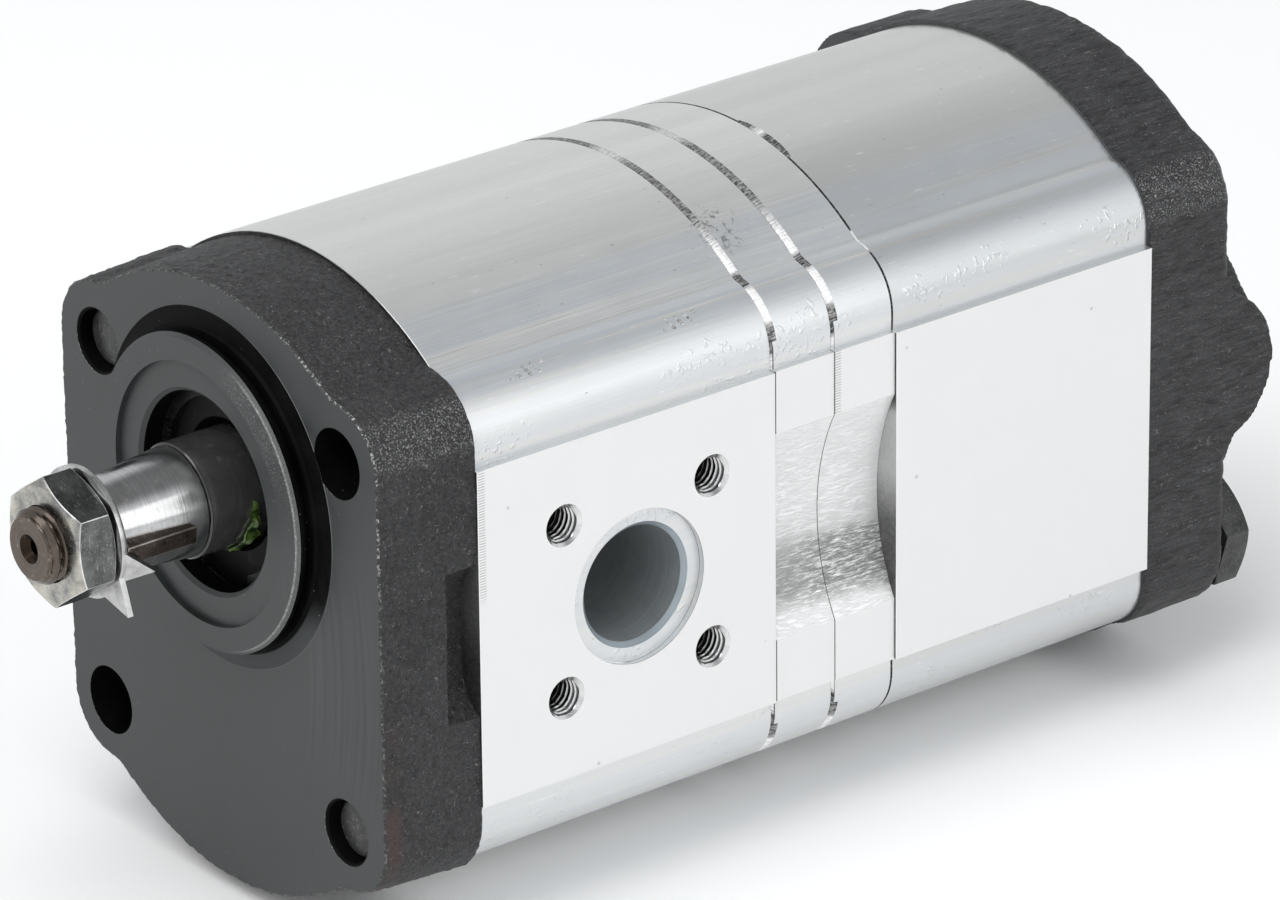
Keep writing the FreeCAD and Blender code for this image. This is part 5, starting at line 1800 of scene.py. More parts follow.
@dataclass
class FrontCover:
    """Cast flange cover with its machined face, spigot and bores."""

    draft: float = 3.0
    crown: float = 48.896
    lobe: float = 9.6
    hollow: float = 8.0
    samples: int = 170
    stations: int = 46
    roughness: float = 0.06
    edge_width: float = 0.3
    hole_edge_width: float = 0.42
    spigot_reach: float = 28.4
    notch_half: float = 13.2
    mount_radius: float = 5.5
    seal_bore: float = 16.0
    face_recess: float = 1.65
    groove: Pair = (23.0, 28.1)
    groove_front: float = 0.62
    notch_from: float = 33.0
    notch_front: float = 11.0
    overhang: float = 0.05

    def side_skin(self, low: float, high: float) -> np.ndarray:
        """Rings of the drafted cast side with its roughness.

        A ring is the outline moved outward by the draft's tangent times the place along the
        shaft, plus the rumpled field along the outline's own normal. In front of the worn edge's
        own width it falls back by what is missing of that width.

        Args:
            low: First station.
            high: Last station.

        Returns:
            The rings.
        """
        slope = math.tan(math.radians(self.draft))
        edge = [0.0, self.edge_width * 0.5, self.edge_width, self.edge_width * 1.6]
        along = np.sort(np.concatenate([np.linspace(low, high, self.stations), edge]))
        rings = []
        for place in along:
            out = place * slope
            section = SectionOutline(self.crown + out, self.lobe + out, self.hollow)
            outline = section.ring(self.samples)
            rings.append(np.insert(outline + [0, MIDDLE_UP], 1, place, axis=1))
        rings = np.array(rings)
        flat = rings.reshape(-1, 3)
        tangent = np.roll(rings, -1, axis=1) - np.roll(rings, 1, axis=1)
        normal = np.stack([-tangent[..., 2], 0 * tangent[..., 0], tangent[..., 0]], axis=-1)
        normal /= np.linalg.norm(normal, axis=-1, keepdims=True)
        outward = np.sign(np.sum(normal * (rings - [0, 0, MIDDLE_UP]), axis=-1, keepdims=True))
        skin = rumple(flat, 1.5, 11) * 0.7 + rumple(flat, 3.4, 12) * 0.5
        skin += np.abs(rumple(flat, 0.9, 13)) * 0.4
        worn = self.edge_width * (1.0 + 0.22 * rumple(flat, 1.1, 14))
        worn = np.clip(worn - flat[:, 1], 0, None) * (flat[:, 1] < self.edge_width * 2)
        push = ((skin - 0.8) * self.roughness - worn).reshape(rings.shape[:2])[..., None]
        return rings + normal * outward * push

    def build(self) -> Piece:
        """Crosses the machined shape, its sides pushed outward, with the rough casting.

        Returns:
            The finished cover.
        """
        finishes = (CAST, FACED, SHADED_HOLE_IRON, WORN_AND_LIT)
        low, high = node_span("front_cover")
        cover = node_copy("front_cover", finishes, "front_cover_casting")
        points = places_of(cover)
        slope = math.tan(math.radians(self.draft))
        inner = SectionOutline(self.crown - 0.4, self.lobe - 0.4)
        outside = inner.leaves_out(points, slope)
        middle = np.array([0.0, 0.0, MIDDLE_UP])
        from_middle = points - middle
        from_middle[:, 1] = 0
        points[outside] += from_middle[outside] * self.overhang
        move_to(cover, points)
        assign(cover, lambda faces: np.full(len(faces.numbers), CoverFace.FACED))
        casting = loft(self.side_skin(low[1] - 1, high[1] + 1), CoverFace.CAST)
        work(cover, casting, Joining.KEEP_COMMON, finishes)

        def rule(faces: Faces) -> np.ndarray:
            """New finish numbers of the faces."""
            faced = faces.numbers == CoverFace.FACED
            inside = faces.reach < self.seal_bore
            bored = (np.abs(faces.facing) < 0.3) & ((faces.reach > self.spigot_reach) | inside)
            deep_shade = (faces.along > low[1] + self.face_recess) & (np.abs(faces.along) > 0.01)
            groove = (faces.reach > self.groove[0]) & (faces.reach < self.groove[1])
            groove &= (faces.along < -0.02) & (faces.along > low[1] + self.groove_front)
            hole = (faces.from_bolt < self.mount_radius) & (np.abs(faces.facing) < 0.9)
            # The bores, the groove round the spigot and the bolt holes take the near-black painted
            # shade.
            bored = (bored | (inside & deep_shade) | groove | hole) & faced
            notch = (faces.across > self.notch_from) & (faces.raised < self.notch_half)
            notch &= faces.along > self.notch_front
            front = (faces.numbers == CoverFace.CAST) & (faces.along < self.edge_width * 1.05)
            machined = np.where(bored, CoverFace.BORED, faces.numbers)
            return np.where(front, CoverFace.WORN_AND_LIT, np.where(notch, CoverFace.CAST, machined))

        assign(cover, rule)

        def hole_edge(a: Vector, b: Vector) -> bool:
            """Whether an edge lies round a bolt hole's mouth in the front face."""
            offsets = [
                math.hypot(abs(end.x) - BOLT_OFFSET, abs(end.z - MIDDLE_UP) - BOLT_OFFSET)
                for end in (a, b)
            ]
            return max(abs(a.y), abs(b.y)) < 0.02 and max(offsets) < self.mount_radius + 0.6

        bevel_sharp(cover, self.hole_edge_width, hole_edge, finish_number=CoverFace.WORN_AND_LIT)
        return finish_piece(cover, "housing", ["front_cover"], 34)


@dataclass
class SectionBody:
    """Extruded section with milled sides, threaded port holes and bright bores."""

    node: str
    name: str
    sides: tuple[tuple[int, float, float], ...]
    front_edge: Finish
    front_end: Finish
    rear_edge: Finish
    rear_width: float = 0.14
    finish: Finish = DRAWN
    thread_core: float = 2.63
    thread_crest: float = 3.1
    thread_length: float = 12.7
    mouth: float = 3.42
    pitch: float = 1.0
    edge_width: float = 0.14
    port_radii: Pair = (10.05, 9.3)
    recess: float = 1.02
    screw_reach: float = 6.5
    bores_within: SectionOutline = SectionOutline(49.6, 9.0)
    rim_beyond: SectionOutline = SectionOutline(50.0, 9.3)

    def threads(self, face: float) -> Solid:
        """All threaded holes of the body as one tool.

        Args:
            face: Distance of the port faces from the middle.

        Returns:
            The threaded rods at the corners of each port's square.
        """
        rod = threaded_rod(
            self.thread_length, self.pitch, self.thread_core, self.thread_crest, self.mouth
        )
        rods = []
        for side, along, spacing in self.sides:
            for corner_along in (-1, 1):
                for corner_up in (-1, 1):
                    placed = [
                        side * (face + rod[..., 1]),
                        along + corner_along * spacing / 2 + side * rod[..., 0],
                        MIDDLE_UP + corner_up * spacing / 2 + rod[..., 2],
                    ]
                    rods.append(loft(np.stack(placed, axis=-1)))
        return gathered(rods, BodyFace.THREAD)

    def port_chamfer(self, face: float, along: float) -> Solid:
        """Cone that takes the edge off the suction port's mouth at the floor of its recess.

        Args:
            face: Distance of the port face from the middle.
            along: Place of the port along the shaft.

        Returns:
            The tool.
        """
        wide, narrow = self.port_radii
        profile = [(0.2, wide), (1.0, wide), (1.0 + wide - narrow, narrow), (1.8, narrow - 0.3)]
        depth, radius = np.array(profile).T
        rings = revolved(face - depth, radius, 96, (along, MIDDLE_UP))
        return loft(rings[..., [1, 0, 2]], BodyFace.PORT_EDGE)

    def build(self) -> Piece:
        """Takes the edges off the node's shape and cuts the threads.

        Returns:
            The finished body.
        """
        finishes = (
            self.finish,
            MILLED,
            BORED,
            self.front_edge,
            self.front_end,
            PORT_RING,
            THREADED,
            DASH,
            PORT_EDGE,
            self.rear_edge,
            SHADED_DEEP_HOLE,
        )
        low, high = node_span(self.node)
        face = high[0]
        middle = (low[1] + high[1]) / 2
        body = node_copy(self.node, finishes, self.name)

        def rule(faces: Faces) -> np.ndarray:
            """New finish numbers of the faces."""
            milled = faces.across > face - 0.01
            ends = np.where(faces.facing < 0, BodyFace.FRONT_END, BodyFace.MILLED)
            at_end = (faces.along < low[1] + 0.01) | (faces.along > high[1] - 0.01)
            inside = (faces.across < face - 0.01) & ~self.bores_within.leaves_out(faces.middles)
            recessed = faces.across > face - self.recess
            bore = np.where(recessed, BodyFace.PORT_RING, BodyFace.BORED)
            # Screw holes take the near-black painted shade.
            bore = np.where(faces.from_bolt < self.screw_reach, BodyFace.SHADED_DEEP_HOLE, bore)
            bevel = (faces.facing < -0.1) & (faces.along < low[1] + 0.3)
            skin = np.where(bevel, BodyFace.FRONT_EDGE, BodyFace.SKIN)
            drawn = np.where(inside, bore, skin)
            return np.where(milled, BodyFace.MILLED, np.where(at_end, ends, drawn))

        assign(body, rule)
        rims = (
            (BodyFace.FRONT_EDGE, -1, self.edge_width),
            (BodyFace.REAR_EDGE, 1, self.rear_width),
        )
        for finish_number, way, width in rims:

            def rim(a: Vector, b: Vector, way: int = way) -> bool:
                """Whether an edge lies on the outer rim of that end."""
                on_end = min((a.y - middle) * way, (b.y - middle) * way) > 0
                both = self.rim_beyond.leaves_out(np.array([a, b])).all()
                return on_end and bool(both)

            bevel_sharp(body, width, rim, finish_number=finish_number)

        for side, along, _ in self.sides:
            if side > 0:
                work(body, self.port_chamfer(face, along), Joining.CUT, finishes)
        work(body, self.threads(face), Joining.CUT, finishes)
        for tool in self.marks(low[1]):
            work(body, tool, Joining.CUT, finishes)
        return finish_piece(body, "housing", [self.node], 25)

    def marks(self, front: float) -> list[Solid]:
        """Shallow marks in the skin; the plain section has none.

        Args:
            front: The section's front end.

        Returns:
            Tools that cut them.
        """
        return []


@dataclass
class PeenedBody(SectionBody):
    """Front section, with two groups of punched dots along its upper lobe."""

    groups: tuple[float, ...] = (27.9, 56.9)
    rows: tuple[int, ...] = (4, 3, 4)
    first_bearing: float = 52.0
    row_bearing: float = 4.4
    row_start: float = 0.6
    middle_start: float = 0.9
    spacing: float = 1.75
    reach: float = 9.7
    dot: float = 0.42

    def marks(self, front: float) -> list[Solid]:
        """Dots in three slanting rows.

        A dot is a small turned lens whose middle lies just above the lobe; row k of a group
        stands k row bearings above the first and starts k row starts further along the shaft.

        Args:
            front: The section's front end; not used here.

        Returns:
            One tool with every dot.
        """
        lens = ((-1, 0.05), (-0.7, 0.7), (0, 1), (0.7, 0.7), (1, 0.05))
        dots = []
        for start in self.groups:
            for row, count in enumerate(self.rows):
                angle = math.radians(self.first_bearing + self.row_bearing * row)
                across = BOLT_OFFSET + self.reach * math.cos(angle)
                up = MIDDLE_UP + BOLT_OFFSET + self.reach * math.sin(angle)
                first = start + self.row_start * row + (self.middle_start if row == 1 else 0.0)
                for place in range(count):
                    along = first + self.spacing * place
                    size = self.dot * (1.0 if (row + place) % 3 else 0.75)
                    profile = [(along + size * a, size * r) for a, r in lens]
                    dots.append(turned(profile, 10, (across, up)))
        return [gathered(dots, BodyFace.MARK)]


@dataclass
class DashedBody(SectionBody):
    """Rear section, with a short open length of joint at the top of its front edge."""

    dash: Pair = (72.6, 87.0)
    width: float = 1.7
    depth: float = 0.6
    samples: int = 24
    end_angle: float = 0.12

    def marks(self, front: float) -> list[Solid]:
        """A wedge swept about the middle line between the two bearings.

        Args:
            front: The section's front end.

        Returns:
            The one tool.
        """
        crown = node_span(self.node)[1][2] - MIDDLE_UP
        bearing = np.radians(np.linspace(*self.dash, self.samples))
        half_turn = np.linspace(self.end_angle, math.pi - self.end_angle, self.samples)
        taper = np.sin(half_turn) ** 0.35
        corners = [(-0.3, -1.0), (1.0, 0.1), (1.0, 0.6), (-0.3, 0.6)]
        rings = np.empty((self.samples, len(corners), 3))
        for number, (forward, out) in enumerate(corners):
            reach = crown + self.depth * out * taper
            rings[:, number, 0] = reach * np.cos(bearing)
            rings[:, number, 1] = front + self.width * forward * taper
            rings[:, number, 2] = MIDDLE_UP + reach * np.sin(bearing)
        return [loft(rings, BodyFace.MARK)]


@dataclass
class Plate:
    """Intermediate plate with hollow sides and a rough sawn front bevel."""

    node: str
    name: str
    edge_width: float = 0.1
    side_width: float = 0.1
    strip: float = 1.5
    strip_slope: float = 0.22
    scoop_half: float = 17.3
    scoop_reach: float = 33.0
    skin_beyond: SectionOutline = SectionOutline(49.0, 9.0)
    rim_beyond: SectionOutline = SectionOutline(48.0, 8.0)
    strip_beyond: SectionOutline = SectionOutline(50.3, 9.55)

    def build(self) -> Piece:
        """Takes the edges off the node's shape.

        Returns:
            The finished plate.
        """
        finishes = (PLATE_SKIN, SAWN, PLATE_SIDE, SCOOP, PLATE_EDGE)
        low, high = node_span(self.node)
        plate = node_copy(self.node, finishes, self.name)

        def rule(faces: Faces) -> np.ndarray:
            """New finish numbers of the faces."""
            outside = self.skin_beyond.leaves_out(faces.middles)
            bevel = outside & (faces.facing < -0.1) & (faces.along < low[1] + self.strip)
            side = faces.across > high[0] - 0.01
            hollow = (faces.across > BOLT_OFFSET) & (faces.raised < self.scoop_half)
            hollow &= (np.abs(faces.facing) < 0.1) & ~side
            skin = np.where(outside & ~side, PlateFace.SKIN, PlateFace.MILLED)
            skin = np.where(hollow, PlateFace.SCOOPED, skin)
            return np.where(bevel, PlateFace.SAWN, skin)

        self.widen_strip(plate, low[1])
        assign(plate, rule)

        def front_side(a: Vector, b: Vector) -> bool:
            """Whether an edge is the front one of a milled side."""
            beside = min(abs(a.x), abs(b.x)) > high[0] - 0.01
            return beside and max(a.y, b.y) < low[1] + 0.01

        def rim(a: Vector, b: Vector) -> bool:
            """Whether an edge lies across the shaft on the outer rim."""
            both = self.rim_beyond.leaves_out(np.array([a, b])).all()
            outer = bool(both) or min(abs(a.x), abs(b.x)) > self.scoop_reach
            return outer and abs(a.y - b.y) < 0.05

        bevel_sharp(plate, self.side_width, front_side, 30, finish_number=PlateFace.EDGE)
        bevel_sharp(plate, self.edge_width, rim, 30, finish_number=PlateFace.EDGE)
        return finish_piece(plate, "housing", [self.node], 25)

    def widen_strip(self, plate: Piece, front: float) -> None:
        """Lets the sawn strip reach further back, sinking it a little toward its front.

        A vertex of the rounded outline that is nearer the front than the strip is wide moves
        toward the middle line by the slope times what is missing, where it isn't lower already.

        Args:
            plate: The plate.
            front: Place of its front face.
        """
        with edited(plate.data) as opened:
            slice_across(opened, front + self.strip)
        points = places_of(plate)
        short = front + self.strip - points[:, 1]
        sink = self.strip_beyond.leaves_out(points) & (short > 0.3)
        sink &= np.abs(points[:, 0]) < 39.5
        away = points - [0.0, 0.0, MIDDLE_UP]
        away[:, 1] = 0
        away /= np.maximum(np.linalg.norm(away, axis=1, keepdims=True), 1e-9)
        points[sink] -= away[sink] * (short * self.strip_slope)[sink, None]
        move_to(plate, points)


@dataclass
class RearCover:
    """Cast rear cover: a rough skin round machined holes, seats and joint face."""

    voxel: float = 0.62
    roughness: float = 0.06
    pull: float = 4.0
    hole_radii: Pair = (5.55, 5.25)
    seat_radius: float = 10.45
    seat_depth: float = 9.2
    farthest: float = 1.0
    lip: float = 1.0
    lip_stretch: float = 0.6

    def build(self) -> Piece:
        """Remeshes the node's shape into an even skin, machines it again and rumples the skin.

        Returns:
            The finished cover.
        """
        finishes = (REAR_CAST, FACED, SHADED_HOLE_IRON)
        low, high = node_span("rear_cover")
        cover = node_copy("rear_cover", finishes, "rear_cover_casting")
        joint = low[1]
        skin = cover.modifiers.new("skin", "REMESH")
        skin.mode = "VOXEL"
        skin.voxel_size = self.voxel * MILLIMETRE
        smooth = cover.modifiers.new("smooth", "SMOOTH")
        smooth.iterations = 3
        settle(cover)
        points = places_of(cover)
        near = points[:, 1] < joint + self.lip
        points[near, 1] -= (joint + self.lip - points[near, 1]) * self.lip_stretch
        move_to(cover, points)
        reach = 120.0
        slab = turned([(joint - 20, reach), (joint, reach)], 24, (0, MIDDLE_UP), CoverFace.FACED)
        work(cover, slab, Joining.CUT, finishes)
        beyond = high[1] + 2
        # The drilled holes take the near-black painted shade.
        for centre, radius in self.holes():
            drill = turned([(joint - 2, radius), (beyond, radius)], 48, centre, CoverFace.BORED)
            work(cover, drill, Joining.CUT, finishes)
        seat = high[1] - self.seat_depth
        for centre, _ in self.holes()[2:]:
            sides = [(seat, self.seat_radius), (beyond, self.seat_radius)]
            mill = turned(sides, 64, centre, CoverFace.FACED)
            work(cover, mill, Joining.CUT, finishes)
        self.lay_skin(cover)
        return finish_piece(cover, "housing", ["rear_cover"], 40)

    def lay_skin(self, cover: Piece) -> None:
        """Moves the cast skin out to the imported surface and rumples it.

        A point that belongs to a machined face stays, and so does one that would move far.

        Args:
            cover: The machined cover, its skin in slot 0.
        """
        mesh = cover.data
        corners = np.empty(len(mesh.loops), np.int32)
        totals = np.empty(len(mesh.polygons), np.int32)
        normals = np.empty(len(mesh.vertices) * 3, np.float32)
        mesh.loops.foreach_get("vertex_index", corners)
        mesh.polygons.foreach_get("loop_total", totals)
        mesh.vertices.foreach_get("normal", normals)
        before = places_of(cover)
        free = np.ones(len(before), bool)
        free[corners[np.repeat(faces_of(cover).numbers != CoverFace.CAST, totals)]] = False
        form = node_copy("rear_cover", (REAR_CAST,), "form")
        cling = cover.modifiers.new("cling", "SHRINKWRAP")
        cling.target = form
        settle(cover)
        drop(form)
        after = places_of(cover)
        free &= np.linalg.norm(after - before, axis=1) < self.farthest
        pulled = before / [1.0, self.pull, 1.0]
        field_sum = rumple(pulled, 1.7, 21) * 0.7 + rumple(pulled, 3.6, 22) * 0.6
        field_sum += np.abs(rumple(pulled, 1.2, 23)) * 0.35
        push = normals.reshape(-1, 3) * ((field_sum - 0.5) * self.roughness)[:, None]
        move_to(cover, np.where(free[:, None], after + push, before))

    def holes(self) -> list[tuple[Pair, float]]:
        """Centre and radius of the mounting holes, then of the screw holes."""
        mount, screw = self.hole_radii
        return [
            ((BOLT_OFFSET, MIDDLE_UP + BOLT_OFFSET), mount),
            ((-BOLT_OFFSET, MIDDLE_UP - BOLT_OFFSET), mount),
            ((-BOLT_OFFSET, MIDDLE_UP + BOLT_OFFSET), screw),
            ((BOLT_OFFSET, MIDDLE_UP - BOLT_OFFSET), screw),
        ]


@dataclass
class ShaftEnd:
    """Nose of the drive shaft: cone, threaded end and centre hole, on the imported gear."""

    seam: float = 3.0
    core: float = 5.12
    crest: float = 5.9
    pitch: float = 1.5
    thread_front: float = -34.4
    cone_tip: Pair = (-23.9, 7.08)
    cone_root: Pair = (-7.7, 8.7)
    journal: float = 9.0
    centre_hole: float = 2.3
    around: int = 144
    samples: int = 14

    def rings(self) -> np.ndarray:
        """Rings of the nose from the bottom of the centre hole to the seam.

        The thread's radius falls from its crest to its core with y / pitch + t / 2 pi and is
        held under the cone of the end's chamfer.

        Returns:
            The rings.
        """
        angle = np.linspace(0, 2 * np.pi, self.around, endpoint=False)
        front = self.thread_front
        depths = ((4.2, 0.05), (3.0, 1.15), (1.15, 1.2), (0.0, self.centre_hole))
        hole = [(front + depth, radius) for depth, radius in depths]
        stations = [(place, np.full(self.around, radius)) for place, radius in hole]
        end = self.cone_tip[0]
        count = int((end - front) / self.pitch * self.samples)
        for place in np.linspace(front, end, count):
            wave = thread_wave(place / self.pitch + angle / (2 * np.pi))
            radius = self.core + (self.crest - self.core) * wave
            chamfer = self.core - 0.25 + (place - front)
            stations.append((place, np.minimum(radius, chamfer)))
        plain = [
            (end + 0.01, self.cone_tip[1] - 0.25),
            (end + 0.25, self.cone_tip[1]),
            (self.cone_root[0] - 0.02, self.cone_root[1]),
            (self.cone_root[0], self.cone_root[1] + 0.06),
            (self.cone_root[0] + 0.22, self.journal),
            (self.seam, self.journal),
        ]
        stations += [(place, np.full(self.around, radius)) for place, radius in plain]
        places, radii = zip(*stations)
        return revolved(np.array(places), np.stack(radii), self.around)

    def build(self) -> Piece:
        """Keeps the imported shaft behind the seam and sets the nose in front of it.

        Returns:
            The finished shaft.
        """
        finishes = (SHAFT, THREAD, GEAR, CENTRE)
        shaft = node_copy("drive_shaft", finishes, "drive_shaft_ground")
        with edited(shaft.data) as opened:
            rim = slice_across(opened, self.seam, drop_front=True)
            bmesh.ops.holes_fill(opened, edges=rim, sides=0)
            bmesh.ops.recalc_face_normals(opened, faces=opened.faces)
        nose = new_piece("nose", loft(self.rings(), ShaftFace.GROUND).mesh("nose", finishes))
        key_tool = node_copy("shaft_key", finishes, "key_tool")
        grown = places_of(key_tool)
        centre = grown.mean(axis=0)
        move_to(key_tool, centre + (grown - centre) * 1.012)
        work_object(nose, key_tool, Joining.CUT)
        with edited(shaft.data) as opened:
            opened.from_mesh(nose.data)
        drop(nose)

        def rule(faces: Faces) -> np.ndarray:
            """New finish numbers of the faces."""
            thread = faces.along < self.cone_tip[0] + 0.05
            hole = thread & (faces.reach < self.centre_hole) & (np.abs(faces.facing) < 0.95)
            inner = faces.along > self.seam + 1
            lathe = np.where(inner, ShaftFace.GEAR, ShaftFace.GROUND)
            lathe = np.where(thread, ShaftFace.THREAD, lathe)
            return np.where(hole, ShaftFace.CENTRE, lathe)

        assign(shaft, rule)
        return finish_piece(shaft, "drive_line", ["drive_shaft"], 28)


@dataclass
class Fastener:
    """A node whose own shape is right, with its edges taken off."""

    node: str
    name: str
    body: str
    finish: Finish
    edge_width: float = 0.12
    edge_finish: Finish | None = None
    angle: float = 30.0

    def build(self) -> Piece:
        """Bevels the corners of the node's shape.

        Returns:
            The finished piece.
        """
        finishes = (self.finish, self.edge_finish or self.finish)
        piece = node_copy(self.node, finishes, self.name)
        bevel_sharp(piece, self.edge_width, lambda a, b: True, self.angle, FastenerFace.EDGE)
        return finish_piece(piece, self.body, [self.node])


@dataclass
class Hexagon(Fastener):
    """A nut or a head whose turned end is brighter than its flats."""

    end_finish: Finish = NUT_FACE
    facing: float = 0.25

    def build(self) -> Piece:
        """Bevels the corners and gives the faces toward the front their own finish.

        Returns:
            The finished piece.
        """
        piece = super().build()
        piece.data.materials.append(self.end_finish.material())

        def rule(faces: Faces) -> np.ndarray:
            """New finish numbers of the faces."""
            end = (faces.numbers == FastenerFace.FLAT) & (faces.facing < -self.facing)
            return np.where(end, FastenerFace.END, faces.numbers)

        assign(piece, rule)
        return piece


@dataclass
class SealGrease:
    """Smear of assembly grease that the seal's lip has pushed up round the shaft."""

    shaft: float = 9.05
    thick: float = 0.95
    span: Pair = (6.0, -74.0)
    along: float = 0.1
    stations: int = 70
    around: int = 20

    def build(self) -> Piece:
        """Lofts a flat curl along the shaft.

        The ring at bearing b is a half-ellipse standing on the shaft; its half width follows
        sin(pi s) ^ 0.5 times a wave and its middle wanders along the shaft, s being the share
        of the span.

        Returns:
            The smear.
        """
        share = np.linspace(0.0, 1.0, self.stations)
        bearing = np.radians(self.span[0] + (self.span[1] - self.span[0]) * share)
        swell = np.sin(np.pi * np.clip(share, 0.004, 0.996)) ** 0.5
        wave = 1.0 + 0.2 * np.sin(share * 17.0) + 0.12 * np.sin(share * 41.0 + 1.0)
        middle = self.along - 2.2 * np.clip(share - 0.5, 0, 1) + 0.2 * np.sin(share * 29.0)
        turn = np.linspace(0, 2 * np.pi, self.around, endpoint=False)
        width = 1.15 * swell * wave
        lift = self.thick * swell * (0.8 + 0.2 * np.cos(share * 23.0))
        ripple = 1.0 + 0.25 * np.sin(turn * 5.0)[None, :] * swell[:, None]
        reach = self.shaft + lift[:, None] * (0.5 + 0.5 * np.sin(turn)) * ripple
        rings = np.empty((self.stations, self.around, 3))
        rings[..., 0] = reach * np.cos(bearing)[:, None]
        rings[..., 1] = middle[:, None] + width[:, None] * np.cos(turn)
        rings[..., 2] = reach * np.sin(bearing)[:, None]
        name = "seal_grease_smear"
        smear = new_piece(name, loft(rings).mesh(name, (GREASE,)))
        return finish_piece(smear, "housing", (), 60)


@dataclass
class InnerPieces:
    """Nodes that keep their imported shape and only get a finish."""

    finishes: dict[str, Finish] = field(
        default_factory=lambda: {
            "block_aluminium": BLOCK,
            "gear_steel": GEAR,
            "seal_rubber": RUBBER,
            "ring_steel": RING,
            "bush_bronze": BRONZE,
        }
    )

    def dress(self) -> None:
        """Sets the finish that the record's slot asks for on every node still shown."""
        slots = {part["node"]: part["material_slot"] for part in frame["record"]["subparts"]}
        for name, node in frame["nodes"].items():
            if node.hide_render or slots[name] not in self.finishes:
                continue
            node.data.materials.clear()
            node.data.materials.append(self.finishes[slots[name]].material())
            LOG.info("%s dressed as %s", name, slots[name])


# Studio


@dataclass(frozen=True)
class Softbox:
    """A square lamp that points at the pump."""

    name: str
    place: Triple
    width: float
    power: float
    colour: Colour = grey(1.0)

    def hang(self, aim: Vector) -> None:
        """Adds the lamp.

        Args:
            aim: Point that it faces, in metres.
        """
        lamp = bpy.data.lights.new(self.name, "AREA")
        lamp.shape = "SQUARE"
        lamp.size = self.width
        lamp.energy = self.power
        lamp.color = self.colour
        holder = bpy.data.objects.new(self.name, lamp)
        holder.location = self.place
        holder.rotation_euler = (aim - Vector(self.place)).to_track_quat("-Z", "Y").to_euler()
        bpy.context.scene.collection.objects.link(holder)


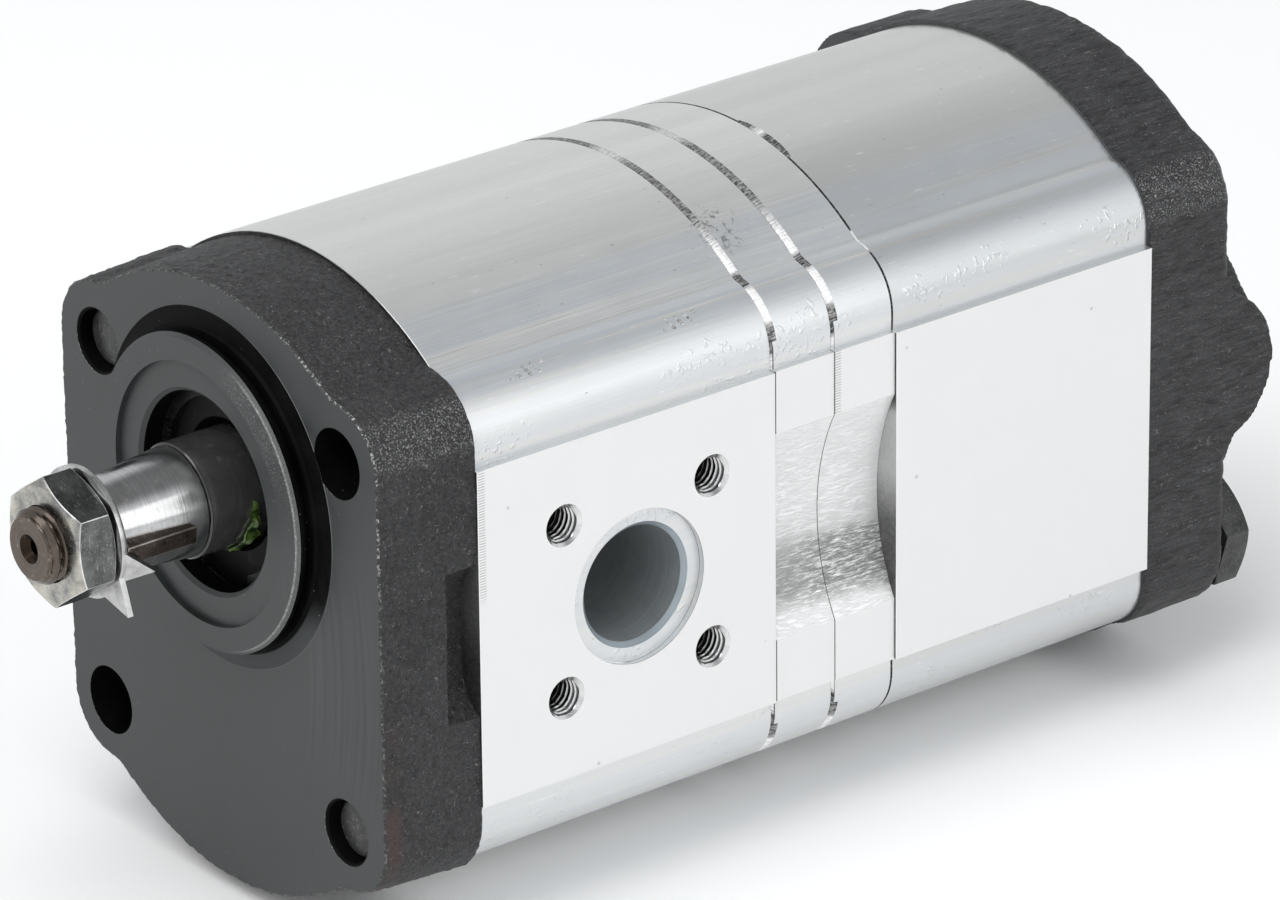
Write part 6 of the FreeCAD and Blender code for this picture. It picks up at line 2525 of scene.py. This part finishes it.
@dataclass(frozen=True)
class Studio:
    """Pale floor, soft lamps and the camera."""

    camera_place: Triple = (952.349, -680.600, 522.070)
    azimuth: float = 51.363
    tilt: float = 23.848
    roll: float = -0.621
    focal_pixels: float = 8585.646
    photo_width: float = 1280.0
    sensor: float = 36.0
    floor_gap: float = 0.0002

    def floor(self, height: float) -> Piece:
        """Pale floor under the pump.

        Args:
            height: Lowest point of the pump in metres.

        Returns:
            The floor.
        """
        reach = 6.0
        corner = np.array([[-reach, -reach], [reach, -reach], [reach, reach], [-reach, reach]])
        points = np.insert(corner, 2, height - self.floor_gap, axis=1)
        mesh = bpy.data.meshes.new("studio_floor")
        mesh.from_pydata(points.tolist(), [], [[0, 1, 2, 3]])
        recipe = Recipe("floor_paper")
        haze = recipe.noise(recipe.millimetres(), 400.0, 2.0)
        recipe.set(
            Base_Color=recipe.blend(haze, grey(0.97), grey(0.99)),
            Roughness=0.9,
            Specular_IOR_Level=0.1,
        )
        mesh.materials.append(recipe.material)
        floor = new_piece("studio_floor", mesh)
        return floor

    def surroundings(self) -> None:
        """White paper near the floor, brighter on the suction side, and a dim room above it."""
        world = bpy.data.worlds.new("studio")
        bpy.context.scene.world = world
        world.use_nodes = True
        board = Board(world.node_tree)
        colour, strength = board.tree.nodes["Background"].inputs[:2]
        across, _, up = board.parts(board.add("ShaderNodeTexCoord", output="Generated"))
        feed(strength, 0.26 + up.rises(0.87, 0.62) * (0.66 + across * 0.12))
        feed(colour, (0.97, 0.985, 1.0))

    def camera(self) -> None:
        """Camera at the photograph's angle: a long lens turned about its own axis."""
        lens = bpy.data.cameras.new("camera")
        lens.sensor_fit = "HORIZONTAL"
        lens.sensor_width = self.sensor
        lens.lens = self.focal_pixels / self.photo_width * self.sensor
        lens.clip_end = 20.0
        holder = bpy.data.objects.new("camera", lens)
        azimuth = math.radians(self.azimuth)
        tilt = math.radians(self.tilt)
        forward = Vector(
            (
                -math.sin(azimuth) * math.cos(tilt),
                math.cos(azimuth) * math.cos(tilt),
                -math.sin(tilt),
            )
        )
        right = forward.cross(Vector((0, 0, 1))).normalized()
        up = right.cross(forward)
        roll = math.radians(self.roll)
        right_turned = right * math.cos(roll) + up * math.sin(roll)
        up_turned = up * math.cos(roll) - right * math.sin(roll)
        turn = Matrix((right_turned, up_turned, -forward)).transposed().to_4x4()
        holder.matrix_world = Matrix.Translation(Vector(self.camera_place) * MILLIMETRE) @ turn
        bpy.context.scene.collection.objects.link(holder)
        bpy.context.scene.camera = holder

    def build(self) -> None:
        """Sets up floor, light and camera."""
        bpy.context.scene.view_settings.view_transform = "Standard"
        low, high = CAD_BOX
        aim = (low + high) / 2
        self.floor(low.z)
        self.surroundings()
        for box in (
            Softbox("overhead_box", (0.2, -0.55, 1.3), 1.1, 12.3),
            Softbox("suction_side_box", (1.3, 0.4, 0.5), 0.9, 3.0),
            Softbox("front_box", (-0.5, -1.3, 0.8), 0.6, 2.0),
        ):
            box.hang(aim)
        self.camera()


def main() -> None:
    """Builds every sub-assembly in order, then the studio."""
    logging.basicConfig(level=logging.INFO, format="%(name)s: %(message)s")
    front_port = node_span("front_body")[0][1] + SUCTION_OFFSET
    rear_port = node_span("rear_body")[0][1] + REAR_PORT_OFFSET
    FrontCover().build()
    PeenedBody(
        "front_body",
        "front_body_extrusion",
        ((1, front_port, SUCTION_SQUARE), (-1, front_port, PRESSURE_SQUARE)),
        BARE_LIT_EDGE,
        SHADED_END,
        SEAM,
    ).build()
    Plate("front_plate", "front_plate_extrusion", side_width=0.5).build()
    Plate("rear_plate", "rear_plate_extrusion").build()
    DashedBody(
        "rear_body",
        "rear_body_extrusion",
        ((-1, rear_port, PRESSURE_SQUARE),),
        OPEN_SEAM,
        END,
        SEAM,
        finish=REAR_DRAWN,
    ).build()
    RearCover().build()
    ShaftEnd().build()
    for fastener in (
        Hexagon("shaft_nut", "shaft_nut_hexagon", "drive_line", NUT, 0.12, BRIGHT_EDGE),
        Fastener("tab_washer", "tab_washer_pressed", "drive_line", WASHER, 0.08),
        Fastener("shaft_key", "shaft_key_half_round", "drive_line", KEY, 0.22, KEY_EDGE),
        Fastener("upper_assembly_screw", "upper_assembly_screw_turned", "housing", SCREW, 0.15),
        Fastener("lower_assembly_screw", "lower_assembly_screw_turned", "housing", SCREW, 0.15),
    ):
        fastener.build()
    SealGrease().build()
    InnerPieces().dress()
    Studio().build()


if __name__ == "__main__":
    main()
